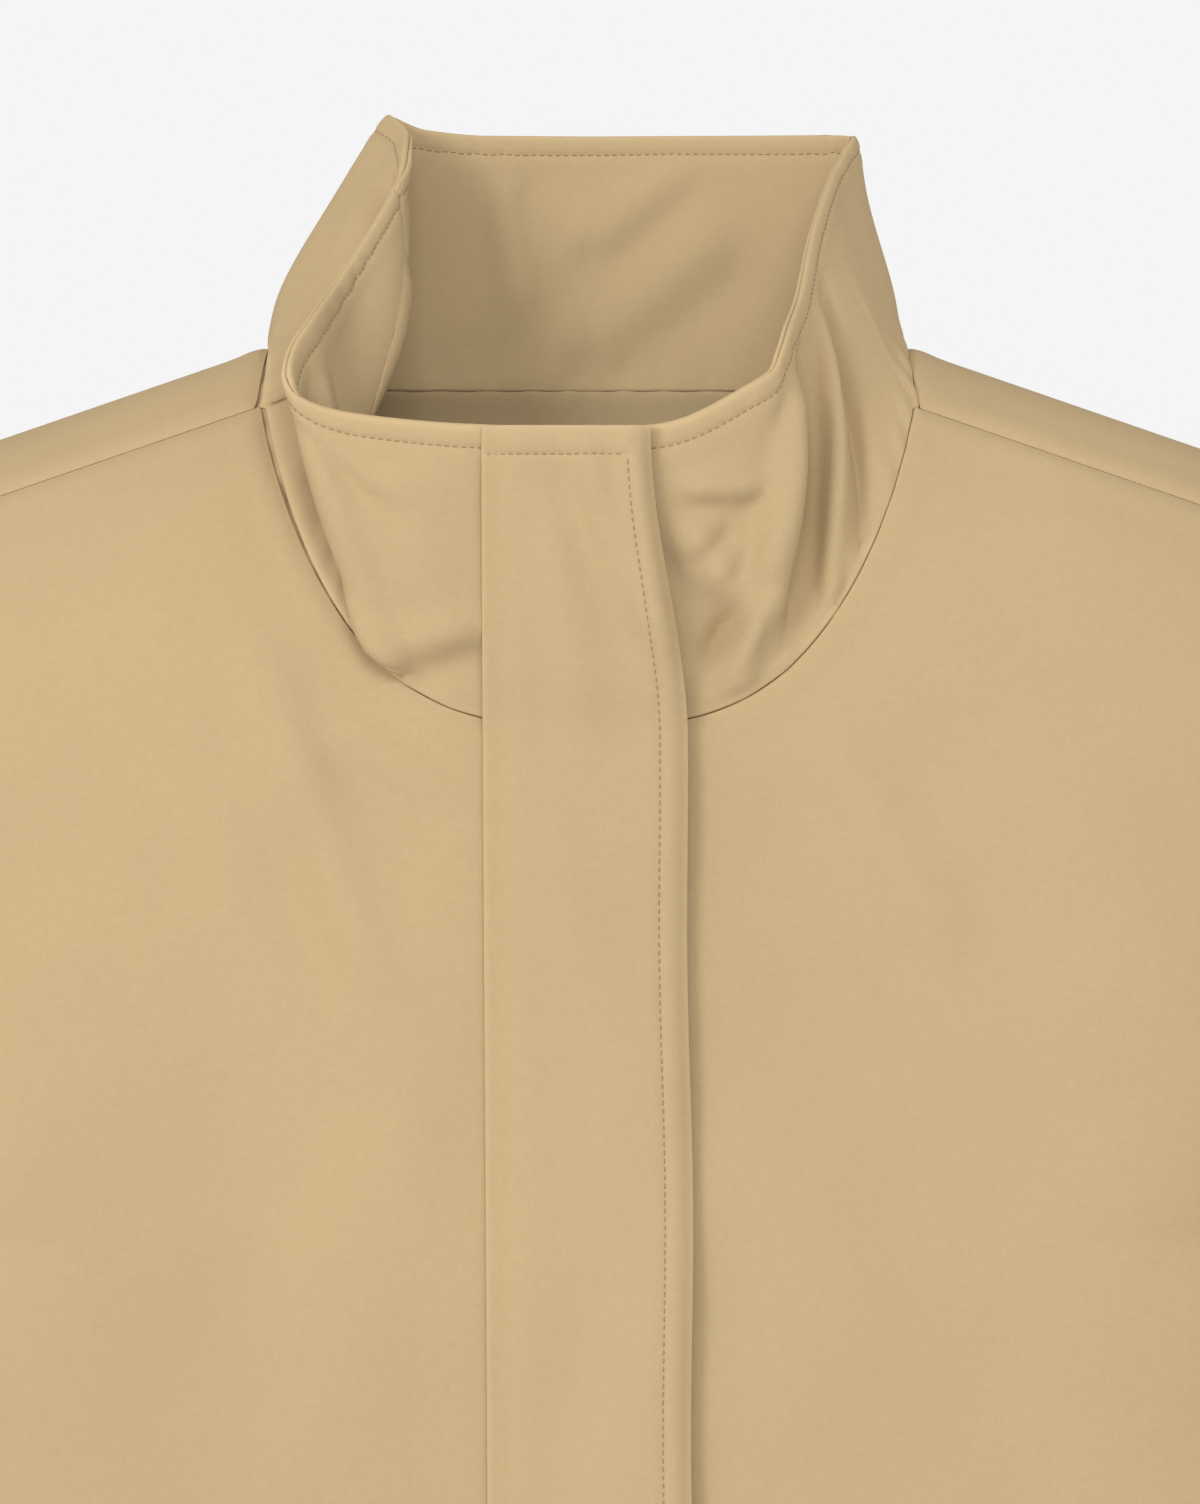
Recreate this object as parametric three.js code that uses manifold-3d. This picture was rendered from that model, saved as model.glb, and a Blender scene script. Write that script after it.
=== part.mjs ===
import * as THREE from 'three';
import { mergeVertices } from 'three/addons/utils/BufferGeometryUtils.js';
import Module from 'manifold-3d';

// A hip-length woven coat hanging upright on an unseen hanger. +Z is up, -Y is the front, and +X is
// the wearer's left. The origin is midway between the two points where shoulder and neck meet.
// All sizes are in millimetres.

// ---- Driving dimensions ----
const neckHalfWidth = 105;
const frontNeckDrop = 119;
const backNeckDrop = 8.4;
const armholeHalfSpan = 250;
const shoulderSlope = THREE.MathUtils.degToRad(19);
const shoulderSeamForward = 66;
const halfDepth = 60;
const armholeHeight = 230;
const sideRounding = 110;
const bodyLength = 860;
const hemFlare = 40;

const collarFrontHeight = 94;
const collarBackHeight = 77;
const collarFrontLean = 20;
const collarBackLean = 9;

const sleeveDrop = 350;
const sleeveOutReach = 175;
const cuffWidth = 122;
const cuffHalfDepth = 42;
const cuffFacingShare = 0.08;

const flapWidth = 64;
const flapRootX = -31;
const frontOpening = 14;
const facingWidth = 61;
const hemDepth = 60;
const liningLap = 12;

const zipTop = -126;
const zipLength = 660;
const zipTapeWidth = 15;

// ---- Cloth layers: how far each face lies inside the outer surface ----
const seamGap = 0.3;
const shellLayer = { near: 0, far: 1.5 };
const tapeLayer = { near: shellLayer.far + seamGap, far: 2.4 };
const turnedLayer = { near: shellLayer.far + seamGap, far: 4.2 };
const facingLayer = { near: tapeLayer.far + seamGap, far: turnedLayer.far };
const liningLayer = { near: turnedLayer.far + seamGap, far: 5.5 };
const collarOuterLayer = { near: 0, far: 1.4 };
const collarInnerLayer = { near: collarOuterLayer.far + seamGap, far: 3.1 };

// ---- Sizes that follow from the driving dimensions ----
const shoulderRounding = armholeHeight / 2;
const quarterTurn = Math.PI / 2;
const shoulderTipZ = -(armholeHalfSpan - neckHalfWidth) * Math.tan(shoulderSlope);
const armholeCentreZ = shoulderTipZ - armholeHeight / 2;
const armholeBottomZ = shoulderTipZ - armholeHeight;
const hemZ = -bodyLength;
const openingHalf = frontOpening / 2;
const frontFaceY = -(halfDepth + seamGap / 2);
const bodySideRest = 80;
const backNeckY = 47;
const neckCurveIn = 3;
const neckCurveOut = 0.68;

// ---- Materials ----
function cloth(colour, roughness) {
  return new THREE.MeshStandardMaterial({ color: colour, roughness, metalness: 0 });
}

const shellCloth = () => cloth(0xc7ae83, 0.92);
const facingCloth = () => cloth(0xb59d73, 0.92);
const liningCloth = () => cloth(0xa8946f, 0.85);
const tapeCloth = () => cloth(0xb09768, 0.88);
const gripCloth = () => cloth(0xa38c62, 0.95);
const brass = () => new THREE.MeshStandardMaterial({ color: 0xa58a4c, roughness: 0.35, metalness: 0.9 });

// ---- Closed bodies from grids of points ----
function signedVolume(points, faces) {
  let total = 0;
  for (const [a, b, c] of faces) {
    total += points[a].dot(new THREE.Vector3().crossVectors(points[b], points[c]));
  }
  return total;
}

function closedGeometry(points, faces) {
  const outward = signedVolume(points, faces) > 0;
  const index = faces.flatMap(([a, b, c]) => (outward ? [a, b, c] : [a, c, b]));
  const geometry = new THREE.BufferGeometry();
  geometry.setAttribute('position', new THREE.Float32BufferAttribute(points.flatMap((p) => p.toArray()), 3));
  geometry.setIndex(index);
  geometry.computeVertexNormals();
  return geometry;
}

// Joins two grids of the same size into one closed sheet. A ring's last column meets its first.
function sheetBetween(nearGrid, farGrid, ring = false) {
  const rowCount = nearGrid.length;
  const columnCount = nearGrid[0].length;
  const points = [...nearGrid.flat(), ...farGrid.flat()];
  const near = (row, column) => row * columnCount + (column % columnCount);
  const far = (row, column) => rowCount * columnCount + near(row, column);
  const faces = [];
  const quad = (a, b, c, d) => faces.push([a, b, c], [a, c, d]);
  const steps = ring ? columnCount : columnCount - 1;
  for (let row = 0; row < rowCount - 1; row += 1) {
    for (let column = 0; column < steps; column += 1) {
      quad(near(row, column), near(row + 1, column), near(row + 1, column + 1), near(row, column + 1));
      quad(far(row, column), far(row, column + 1), far(row + 1, column + 1), far(row + 1, column));
    }
  }
  for (let column = 0; column < steps; column += 1) {
    const last = rowCount - 1;
    quad(near(0, column), near(0, column + 1), far(0, column + 1), far(0, column));
    quad(near(last, column), far(last, column), far(last, column + 1), near(last, column + 1));
  }
  if (!ring) {
    const last = columnCount - 1;
    for (let row = 0; row < rowCount - 1; row += 1) {
      quad(near(row, 0), far(row, 0), far(row + 1, 0), near(row + 1, 0));
      quad(near(row, last), near(row + 1, last), far(row + 1, last), far(row, last));
    }
  }
  return closedGeometry(points, faces);
}

// The same grid moved along its own normals. A positive distance goes against the normal.
function insetGrid(grid, distance) {
  return grid.map((line, row) => line.map((point, column) => {
    const above = grid[Math.max(row - 1, 0)][column];
    const below = grid[Math.min(row + 1, grid.length - 1)][column];
    const before = line[Math.max(column - 1, 0)];
    const after = line[Math.min(column + 1, line.length - 1)];
    const across = after.clone().sub(before);
    const normal = above.clone().sub(below).cross(across).normalize();
    return point.clone().addScaledVector(normal, -distance);
  }));
}

function gridOf(rows, columns, pointAt) {
  return rows.map((row) => columns.map((column) => pointAt(row, column)));
}

const spread = (count) => Array.from({ length: count + 1 }, (_, step) => step / count);

// ---- The body's surface ----
// It is a soft slab. Over the shoulder the section is part of an ellipse, and the sides are rounded.
function ridgeZ(x) {
  return -(Math.abs(x) - neckHalfWidth) * Math.tan(shoulderSlope);
}

// Distance along the cloth from the shoulder ridge down to a height.
function dropToHeight(x, z) {
  const fall = ridgeZ(x) - z;
  const turned = shoulderRounding * quarterTurn;
  if (fall >= shoulderRounding) {
    return turned + fall - shoulderRounding;
  }
  return shoulderRounding * Math.acos(1 - fall / shoulderRounding);
}

function roundFactor(share) {
  const left = 1 - THREE.MathUtils.clamp(share, 0, 1);
  return Math.sqrt(1 - left * left);
}

// How far out the side would close at a height. The armhole is cut flat at armholeHalfSpan.
function sideReach(z, inset) {
  const rounding = sideRounding - inset;
  const atArmhole = roundFactor((bodySideRest - inset) / rounding);
  if (z >= armholeCentreZ) {
    return armholeHalfSpan + bodySideRest - inset;
  }
  if (z > armholeBottomZ + 0.01) {
    const share = Math.min((armholeCentreZ - z) / (shoulderRounding - inset), 1);
    const edge = atArmhole * atArmhole * (1 - share * share);
    return armholeHalfSpan + rounding * (1 - Math.sqrt(1 - edge));
  }
  return armholeHalfSpan - inset + hemFlare * (armholeBottomZ - z) / (armholeBottomZ - hemZ);
}

function heightAt(x, drop, inset) {
  const angle = drop / shoulderRounding;
  if (angle >= quarterTurn) {
    return ridgeZ(x) - shoulderRounding - (drop - shoulderRounding * quarterTurn);
  }
  return ridgeZ(x) - inset - (shoulderRounding - inset) * (1 - Math.cos(angle));
}

// side is -1 for the front and +1 for the back. A negative drop passes over the ridge.
function bodyPoint(side, column, drop, inset) {
  const z = heightAt(column, drop, inset);
  const reach = sideReach(z, inset);
  const direction = Math.sign(column);
  let across = Math.abs(column);
  if (z <= armholeBottomZ + 0.01 && across > neckHalfWidth) {
    across = neckHalfWidth + (across - neckHalfWidth) * (reach - neckHalfWidth)
      / (armholeHalfSpan - neckHalfWidth);
  }
  const turn = Math.sin(Math.min(drop / shoulderRounding, quarterTurn));
  const rounded = roundFactor((reach - across) / (sideRounding - inset));
  return new THREE.Vector3(
    direction * across,
    side * (seamGap / 2 + (halfDepth - inset) * turn * rounded),
    z,
  );
}

// ---- Shared grid lines, so that the layers stay parallel ----
const facingEdge = openingHalf + facingWidth;
const neckLines = [0.8, 0.925, 0.965, 1].map((share) => share * neckHalfWidth);
const shoulderLines = [0.31, 0.52, 0.69, 0.83, 0.93, 1].map(
  (share) => neckHalfWidth + share * (armholeHalfSpan - neckHalfWidth),
);
const halfColumns = [openingHalf, openingHalf + 26, facingEdge - liningLap, facingEdge,
  ...neckLines, ...shoulderLines];
const backColumns = [...halfColumns.map((x) => -x).reverse(), ...halfColumns];
const ridgeColumn = neckLines[2];
const hemFacingTop = hemZ + hemDepth;
const lowerHeights = [0.1, 0.3, 0.52, 0.76, 1].map(
  (share) => THREE.MathUtils.lerp(armholeBottomZ, hemFacingTop, share),
);
const levels = [...lowerHeights, hemFacingTop - liningLap, hemZ];

function frontNeckHeight(x) {
  const share = Math.min(Math.abs(x) / neckHalfWidth, 1);
  return -frontNeckDrop * (1 - share ** neckCurveIn) ** neckCurveOut;
}

function frontTop(x) {
  const seam = shoulderSeamForward + seamGap / 2;
  if (Math.abs(x) >= neckHalfWidth) {
    return seam;
  }
  return Math.max(dropToHeight(x, frontNeckHeight(x)), seam);
}

function backTop(x) {
  if (Math.abs(x) >= neckHalfWidth) {
    return -(shoulderSeamForward - seamGap / 2);
  }
  if (Math.abs(x) >= ridgeColumn) {
    return 0;
  }
  return dropToHeight(x, -backNeckDrop);
}

const upperRowsFront = 8;
const upperRowsBack = 12;

function bodyRow(x, row, upperRows, top) {
  const bottom = dropToHeight(x, armholeBottomZ);
  if (row <= upperRows) {
    return THREE.MathUtils.lerp(top(x), bottom, row / upperRows);
  }
  return dropToHeight(x, levels[row - upperRows - 1]);
}

function bodySheet(side, columns, rows, layer) {
  const upperRows = side < 0 ? upperRowsFront : upperRowsBack;
  const top = side < 0 ? frontTop : backTop;
  const grid = (inset) => gridOf(rows, columns, (row, column) => (
    bodyPoint(side, column, bodyRow(column, row, upperRows, top), inset)
  ));
  return sheetBetween(grid(layer.near), grid(layer.far));
}

const range = (first, last) => Array.from({ length: last - first + 1 }, (_, step) => first + step);
const lastLevel = levels.length - 1;
const frontLast = upperRowsFront + levels.length;
const backLast = upperRowsBack + levels.length;

const coat = new THREE.Group();

function place(name, geometry, material, parent = coat) {
  const mesh = new THREE.Mesh(geometry, material);
  mesh.name = name;
  parent.add(mesh);
  return mesh;
}

function addFront(name, direction) {
  const columns = halfColumns.map((x) => x * direction);
  const facingColumns = columns.slice(0, 4);
  const liningColumns = columns.slice(2);
  const hemTopRow = upperRowsFront + lastLevel - 1;
  place(`front_panel_${name}`, bodySheet(-1, columns, range(0, frontLast), shellLayer), shellCloth());
  const facing = bodySheet(-1, facingColumns, range(0, hemTopRow), facingLayer);
  place(`front_facing_${name}`, facing, facingCloth());
  place(`lining_${name}`, bodySheet(-1, liningColumns, range(0, frontLast - 1), liningLayer), liningCloth());
  place(
    `hem_facing_${name}`,
    bodySheet(-1, columns, range(hemTopRow, frontLast), turnedLayer),
    facingCloth(),
  );
}

function addBack() {
  const yokeRows = 5;
  const hemTopRow = upperRowsBack + lastLevel - 1;
  place('back_panel', bodySheet(1, backColumns, range(0, backLast), shellLayer), shellCloth());
  place('back_yoke_facing', bodySheet(1, backColumns, range(0, yokeRows), turnedLayer), facingCloth());
  const lining = bodySheet(1, backColumns, range(yokeRows - 1, backLast - 1), liningLayer);
  place('lining_back', lining, liningCloth());
  place('hem_facing_back', bodySheet(1, backColumns, range(hemTopRow, backLast), turnedLayer), facingCloth());
}

// ---- Collar: a band that rises from the neck seam to its rim ----
const neckSeamRise = 1.5;

function halfNeckSeam() {
  const front = halfColumns.filter((x) => x <= neckHalfWidth)
    .map((x) => bodyPoint(-1, x, frontTop(x), 0));
  const back = halfColumns.filter((x) => x <= ridgeColumn).reverse()
    .map((x) => bodyPoint(1, x, backTop(x), 0));
  return [...front, ...back];
}

function halfRim() {
  const frontZ = collarFrontHeight - frontNeckDrop;
  const backZ = collarBackHeight - backNeckDrop;
  const frontY = frontFaceY - collarFrontLean;
  const backY = backNeckY + collarBackLean;
  return new THREE.CatmullRomCurve3([
    new THREE.Vector3(openingHalf, frontY, frontZ),
    new THREE.Vector3(neckHalfWidth * 0.52, frontY, frontZ),
    new THREE.Vector3(neckHalfWidth * 0.86, frontY + 2, frontZ + 12),
    new THREE.Vector3(neckHalfWidth * 0.88, frontY + 22, frontZ + 27),
    new THREE.Vector3(neckHalfWidth * 0.76, frontY + 50, frontZ + 44),
    new THREE.Vector3(neckHalfWidth * 0.66, 2, backZ - 25),
    new THREE.Vector3(neckHalfWidth * 0.58, backY - 18, backZ),
    new THREE.Vector3(openingHalf, backY, backZ),
  ]);
}

function lengthShares(points) {
  const reached = [0];
  for (let step = 1; step < points.length; step += 1) {
    reached.push(reached[step - 1] + points[step].distanceTo(points[step - 1]));
  }
  return reached.map((length) => length / reached[reached.length - 1]);
}

function collarGrid(rise) {
  const seam = halfNeckSeam();
  const rim = halfRim();
  const shares = lengthShares(seam);
  const rimPoints = shares.map((share) => rim.getPointAt(share));
  const mirrored = (points) => [
    ...points.map((p) => new THREE.Vector3(-p.x, p.y, p.z)),
    ...points.slice().reverse(),
  ];
  const low = mirrored(seam);
  const high = mirrored(rimPoints);
  const rows = [1, 0.75, 0.5, 0.25, 0];
  return rows.map((row) => low.map((point, column) => {
    const up = high[column].clone().sub(point);
    const start = rise / up.length();
    return point.clone().addScaledVector(up, THREE.MathUtils.lerp(start, 1, row));
  }));
}

function addCollar() {
  const face = collarGrid(neckSeamRise);
  const layer = ({ near, far }) => sheetBetween(insetGrid(face, near), insetGrid(face, far));
  place('collar_outer', layer(collarOuterLayer), shellCloth());
  place('collar_inner', layer(collarInnerLayer), shellCloth());
}

// ---- Storm flap: it covers the zip and opens on the wearer's right front ----
const flapShell = 1.5;
const flapFacing = 1.2;
const flapStandOff = 4.4;
const flapRootStand = 0.4;
const flapFreeStand = 2.4;
const flapColumns = [0, 0.08, 0.2, 0.5, 0.75, 0.95, 1];

function flapStand(share) {
  if (share < 0.2) {
    return THREE.MathUtils.lerp(flapRootStand, flapStandOff, share / 0.2);
  }
  return share > 0.95 ? flapFreeStand : flapStandOff;
}

// lean carries the flap's collar end forward with the collar.
function flapPoint(share, z, out, lean) {
  return new THREE.Vector3(
    flapRootX + share * flapWidth,
    frontFaceY - flapStand(share) - out - lean,
    z,
  );
}

function addFlapSheets(suffix, rows, leanAt) {
  const grid = (out) => gridOf(rows, flapColumns, (z, share) => flapPoint(share, z, out, leanAt(z)));
  const shellIn = flapFacing + seamGap;
  place(`${suffix}_facing`, sheetBetween(grid(flapFacing), grid(0)), facingCloth());
  place(`${suffix}_outer`, sheetBetween(grid(shellIn + flapShell), grid(shellIn)), shellCloth());
}

const flapBodyTop = -(frontNeckDrop + 4);
const flapBodyBottom = hemZ + 3;

function addFlap() {
  const bodyRows = spread(4).map((share) => THREE.MathUtils.lerp(flapBodyTop, flapBodyBottom, share));
  addFlapSheets('storm_flap', bodyRows, () => 0);
  const collarBottom = flapBodyTop + seamGap + 1;
  const collarTop = collarFrontHeight - frontNeckDrop - 0.5;
  const collarRows = spread(4).map((share) => THREE.MathUtils.lerp(collarTop, collarBottom, share));
  const leanAt = (z) => (collarFrontLean + 1) * Math.max((z + frontNeckDrop) / collarFrontHeight, 0);
  addFlapSheets('flap_collar_end', collarRows, leanAt);
}

// ---- Hook and loop patches that hold the flap shut ----
const patchInnerX = openingHalf + 8;
const patchOuterX = flapRootX + 0.95 * flapWidth - 0.8;
const patchWidth = patchOuterX - patchInnerX;
const patchX = (patchInnerX + patchOuterX) / 2;
const patchLength = 60;
const patchCount = 5;
const patchSpacing = 150;
const patchTop = -175;

function boxAt(size, centre) {
  const geometry = new THREE.BoxGeometry(...size);
  geometry.translate(...centre);
  return geometry;
}

function addPatches() {
  const thickness = (flapStandOff - 3 * seamGap) / 2;
  const loopY = frontFaceY - seamGap - thickness / 2;
  const hookY = loopY - thickness - seamGap;
  for (let step = 0; step < patchCount; step += 1) {
    const z = patchTop - step * patchSpacing;
    const size = [patchWidth, thickness, patchLength];
    place(`loop_patch_${step + 1}`, boxAt(size, [patchX, loopY, z]), gripCloth());
    place(`hook_patch_${step + 1}`, boxAt(size, [patchX, hookY, z]), gripCloth());
  }
}

// ---- Zip ----
const teethInner = 0.7;
const teethOuter = 3.4;
const teethDepth = 2.4;
const sliderWidth = 11;
const sliderLength = 14;
const plateThickness = 0.6;
const sliderNeckWidth = 0.7;
const sliderNeckLength = 5;
const runClearance = 0.3;
const postRadius = 1;
const headRadius = 1.9;
const pullThickness = 0.8;
const pullLength = 30;
const pullWidth = 6;
const sliderTopZ = zipTop - 4;
const tapeY = frontFaceY + (tapeLayer.near + tapeLayer.far) / 2;
const teethY = tapeY;

function addZip() {
  const midZ = zipTop - zipLength / 2;
  const teethWidth = teethOuter - teethInner;
  const tapeStart = teethOuter + seamGap;
  const stopLength = 3;
  for (const [name, direction] of [['right', -1], ['left', 1]]) {
    const tapeX = direction * (tapeStart + zipTapeWidth / 2);
    const teethX = direction * (teethInner + teethWidth / 2);
    const tapeSize = [zipTapeWidth, tapeLayer.far - tapeLayer.near, zipLength + 8];
    place(`zip_tape_${name}`, boxAt(tapeSize, [tapeX, tapeY, midZ]), tapeCloth());
    const teethSize = [teethWidth, teethDepth, zipLength];
    place(`zip_teeth_${name}`, boxAt(teethSize, [teethX, teethY, midZ]), brass());
    const stopSize = [teethWidth, teethDepth, stopLength];
    const stopZ = zipTop + seamGap + stopLength / 2;
    place(`zip_top_stop_${name}`, boxAt(stopSize, [teethX, teethY, stopZ]), brass());
  }
  const boxLength = 9;
  const boxZ = zipTop - zipLength - seamGap - boxLength / 2;
  place('zip_bottom_box', boxAt([2 * teethOuter, teethDepth, boxLength], [0, teethY, boxZ]), brass());
}

function cylinderAlongY(radius, nearY, farY, z) {
  const geometry = new THREE.CylinderGeometry(radius, radius, Math.abs(farY - nearY), 16);
  geometry.translate(0, (nearY + farY) / 2, z);
  return geometry;
}

function joinSolids(wasm, geometries) {
  const solids = geometries.map((geometry) => {
    geometry.deleteAttribute('normal');
    geometry.deleteAttribute('uv');
    const merged = mergeVertices(geometry, 1e-4);
    return new wasm.Manifold(new wasm.Mesh({
      numProp: 3,
      vertProperties: new Float32Array(merged.attributes.position.array),
      triVerts: new Uint32Array(merged.index.array),
    }));
  });
  const joined = solids.slice(1).reduce((whole, solid) => whole.add(solid), solids[0]);
  const mesh = joined.getMesh();
  const geometry = new THREE.BufferGeometry();
  geometry.setAttribute('position', new THREE.Float32BufferAttribute(mesh.vertProperties, 3));
  geometry.setIndex(Array.from(mesh.triVerts));
  geometry.computeVertexNormals();
  return geometry;
}

// Two plates clasp the chain, and a thin neck between the two rows of teeth joins them.
function addSlider(wasm) {
  const frontY = teethY - teethDepth / 2 - runClearance - plateThickness;
  const backY = teethY + teethDepth / 2 + runClearance + plateThickness;
  const plateZ = sliderTopZ - sliderLength / 2;
  const plateSize = [sliderWidth, plateThickness, sliderLength];
  const neckZ = sliderTopZ - sliderNeckLength / 2;
  const neckSize = [sliderNeckWidth, backY - frontY - plateThickness, sliderNeckLength];
  const postZ = sliderTopZ - sliderNeckLength;
  const pullFar = frontY - runClearance - pullThickness;
  const headNear = pullFar - 0.2;
  const sink = 0.2;
  place('zip_slider', joinSolids(wasm, [
    boxAt(plateSize, [0, frontY + plateThickness / 2, plateZ]),
    boxAt(plateSize, [0, backY - plateThickness / 2, plateZ]),
    boxAt(neckSize, [0, (frontY + backY) / 2, neckZ]),
    cylinderAlongY(postRadius, frontY + sink, headNear, postZ),
    cylinderAlongY(headRadius, headNear + sink / 2, headNear - 0.3, postZ),
  ]), brass());

  const outline = new THREE.Shape();
  const half = pullWidth / 2;
  outline.absarc(0, 0, half, 0, Math.PI, false);
  outline.lineTo(-half, -pullLength + half);
  outline.absarc(0, -pullLength + half, half, Math.PI, 2 * Math.PI, false);
  const eye = new THREE.Path();
  eye.absarc(0, 0, postRadius + runClearance, 0, 2 * Math.PI, true);
  outline.holes.push(eye);
  const pull = new THREE.ExtrudeGeometry(outline, {
    depth: pullThickness, bevelEnabled: false, curveSegments: 8,
  });
  pull.rotateX(Math.PI / 2);
  pull.translate(0, pullFar + pullThickness, postZ);
  place('zip_pull', pull, brass());
}

function addZipGuard() {
  const guardThickness = 1.2;
  const guardHalf = 14;
  const guardFar = 36;
  const y = frontFaceY + liningLayer.near + guardThickness / 2;
  const size = [guardHalf + guardFar, guardThickness, zipLength + 20];
  const centre = [(guardFar - guardHalf) / 2, y, zipTop - zipLength / 2];
  place('zip_guard', boxAt(size, centre), facingCloth());
}

// ---- Welt pockets on the lower fronts ----
const pocketTopZ = -560;
const bagTopZ = pocketTopZ - 10;
const bagInnerX = facingEdge + 5;
const bagOuterX = bodyPoint(-1, shoulderLines[0], dropToHeight(shoulderLines[0], bagTopZ), 0).x - 2;
const bagWidth = bagOuterX - bagInnerX;
const pocketX = (bagInnerX + bagOuterX) / 2;
const weltLength = 160;
const weltWidth = 24;
const weltThickness = 1.4;
const bagLength = 170;

function addPockets() {
  for (const [name, direction] of [['right', -1], ['left', 1]]) {
    const welt = new THREE.BoxGeometry(weltWidth, weltThickness, weltLength);
    welt.rotateY(-direction * THREE.MathUtils.degToRad(12));
    const weltY = frontFaceY - seamGap - weltThickness / 2;
    welt.translate(direction * pocketX, weltY, pocketTopZ - weltLength / 2);
    place(`pocket_welt_${name}`, welt, shellCloth());
    const bagY = frontFaceY + (turnedLayer.near + turnedLayer.far) / 2;
    const bagSize = [bagWidth, turnedLayer.far - turnedLayer.near, bagLength];
    const bagCentre = [direction * pocketX, bagY, bagTopZ - bagLength / 2];
    place(`pocket_bag_${name}`, boxAt(bagSize, bagCentre), facingCloth());
  }
}

// ---- Sleeves: oval sections between an outer and an inner edge ----
const sleeveRows = [0, 0.05, 0.12, 0.22, 0.35, 0.5, 0.65, 0.8, 1 - cuffFacingShare, 1];

function sleeveEdges(direction) {
  const startX = armholeHalfSpan + seamGap;
  const place3 = (x, z) => new THREE.Vector3(direction * x, 0, z);
  const cuffX = armholeHalfSpan + sleeveOutReach;
  const cuffZ = armholeBottomZ - sleeveDrop;
  const outer = new THREE.CatmullRomCurve3([
    place3(startX, shoulderTipZ),
    place3(startX + 50, shoulderTipZ - 25),
    place3(startX + 102, shoulderTipZ - 100),
    place3(cuffX - 35, armholeBottomZ - 20),
    place3(cuffX, cuffZ + 10),
  ], false, 'centripetal');
  const inner = new THREE.CatmullRomCurve3([
    place3(startX, armholeBottomZ),
    place3(startX + 12, armholeBottomZ - 50),
    place3(startX + 30, armholeBottomZ - 120),
    place3(cuffX - cuffWidth, cuffZ - 10),
  ], false, 'centripetal');
  return { outer, inner };
}

const armholeHalfDepth = halfDepth * roundFactor(bodySideRest / sideRounding);

function sleevePoint(edges, share, angle, inset) {
  const top = edges.outer.getPointAt(share);
  const low = edges.inner.getPointAt(share);
  const centre = top.clone().add(low).multiplyScalar(0.5);
  const reach = top.clone().sub(centre);
  const radius = reach.length();
  const depth = THREE.MathUtils.lerp(armholeHalfDepth, cuffHalfDepth, share) - inset;
  reach.multiplyScalar((radius - inset) / radius);
  const point = centre.addScaledVector(reach, Math.cos(angle));
  point.y = depth * Math.sin(angle);
  return point;
}

function sleeveSheet(edges, rows, angles, layer, ring) {
  const grid = (inset) => gridOf(rows, angles, (share, angle) => sleevePoint(edges, share, angle, inset));
  return sheetBetween(grid(layer.near), grid(layer.far), ring);
}

function addSleeve(name, direction) {
  const edges = sleeveEdges(direction);
  const seamAngle = seamGap / cuffHalfDepth / 2;
  const halfTurn = spread(8).map((share) => (
    THREE.MathUtils.lerp(-quarterTurn + seamAngle, quarterTurn - seamAngle, share)
  ));
  const otherHalf = halfTurn.map((angle) => angle + Math.PI);
  const fullTurn = spread(16).slice(0, -1).map((share) => share * 4 * quarterTurn);
  const cuffRows = [1 - cuffFacingShare, 1];
  const liningRows = [...sleeveRows.slice(0, -1), 1 - cuffFacingShare * 0.8];
  place(`sleeve_top_${name}`, sleeveSheet(edges, sleeveRows, halfTurn, shellLayer, false), shellCloth());
  place(`sleeve_under_${name}`, sleeveSheet(edges, sleeveRows, otherHalf, shellLayer, false), shellCloth());
  place(`sleeve_lining_${name}`, sleeveSheet(edges, liningRows, fullTurn, liningLayer, true), liningCloth());
  place(`cuff_facing_${name}`, sleeveSheet(edges, cuffRows, fullTurn, turnedLayer, true), facingCloth());
}

const wasm = await Module();
wasm.setup();

addBack();
addFront('right', -1);
addFront('left', 1);
addCollar();
addFlap();
addPatches();
addZip();
addSlider(wasm);
addZipGuard();
addPockets();
addSleeve('right', -1);
addSleeve('left', 1);

export default coat;
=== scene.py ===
import math

import bpy
import numpy as np
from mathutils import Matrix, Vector


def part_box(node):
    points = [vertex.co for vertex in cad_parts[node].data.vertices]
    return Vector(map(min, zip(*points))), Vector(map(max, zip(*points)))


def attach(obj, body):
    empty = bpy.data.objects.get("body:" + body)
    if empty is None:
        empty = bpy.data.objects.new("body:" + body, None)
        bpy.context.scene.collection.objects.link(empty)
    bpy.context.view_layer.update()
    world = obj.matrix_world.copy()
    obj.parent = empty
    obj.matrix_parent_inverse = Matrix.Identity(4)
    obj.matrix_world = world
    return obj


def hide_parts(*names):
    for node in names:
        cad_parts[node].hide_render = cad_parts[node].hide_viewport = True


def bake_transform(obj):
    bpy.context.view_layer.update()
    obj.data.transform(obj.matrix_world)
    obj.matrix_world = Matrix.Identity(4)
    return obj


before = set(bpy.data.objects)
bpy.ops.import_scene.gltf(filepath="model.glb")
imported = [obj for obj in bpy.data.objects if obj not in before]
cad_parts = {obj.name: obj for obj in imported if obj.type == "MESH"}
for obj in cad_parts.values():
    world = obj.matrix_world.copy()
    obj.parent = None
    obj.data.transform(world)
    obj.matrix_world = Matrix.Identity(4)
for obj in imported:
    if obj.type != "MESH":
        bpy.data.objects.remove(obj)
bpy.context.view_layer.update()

MM = 0.001
QUARTER = math.pi / 2

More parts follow.
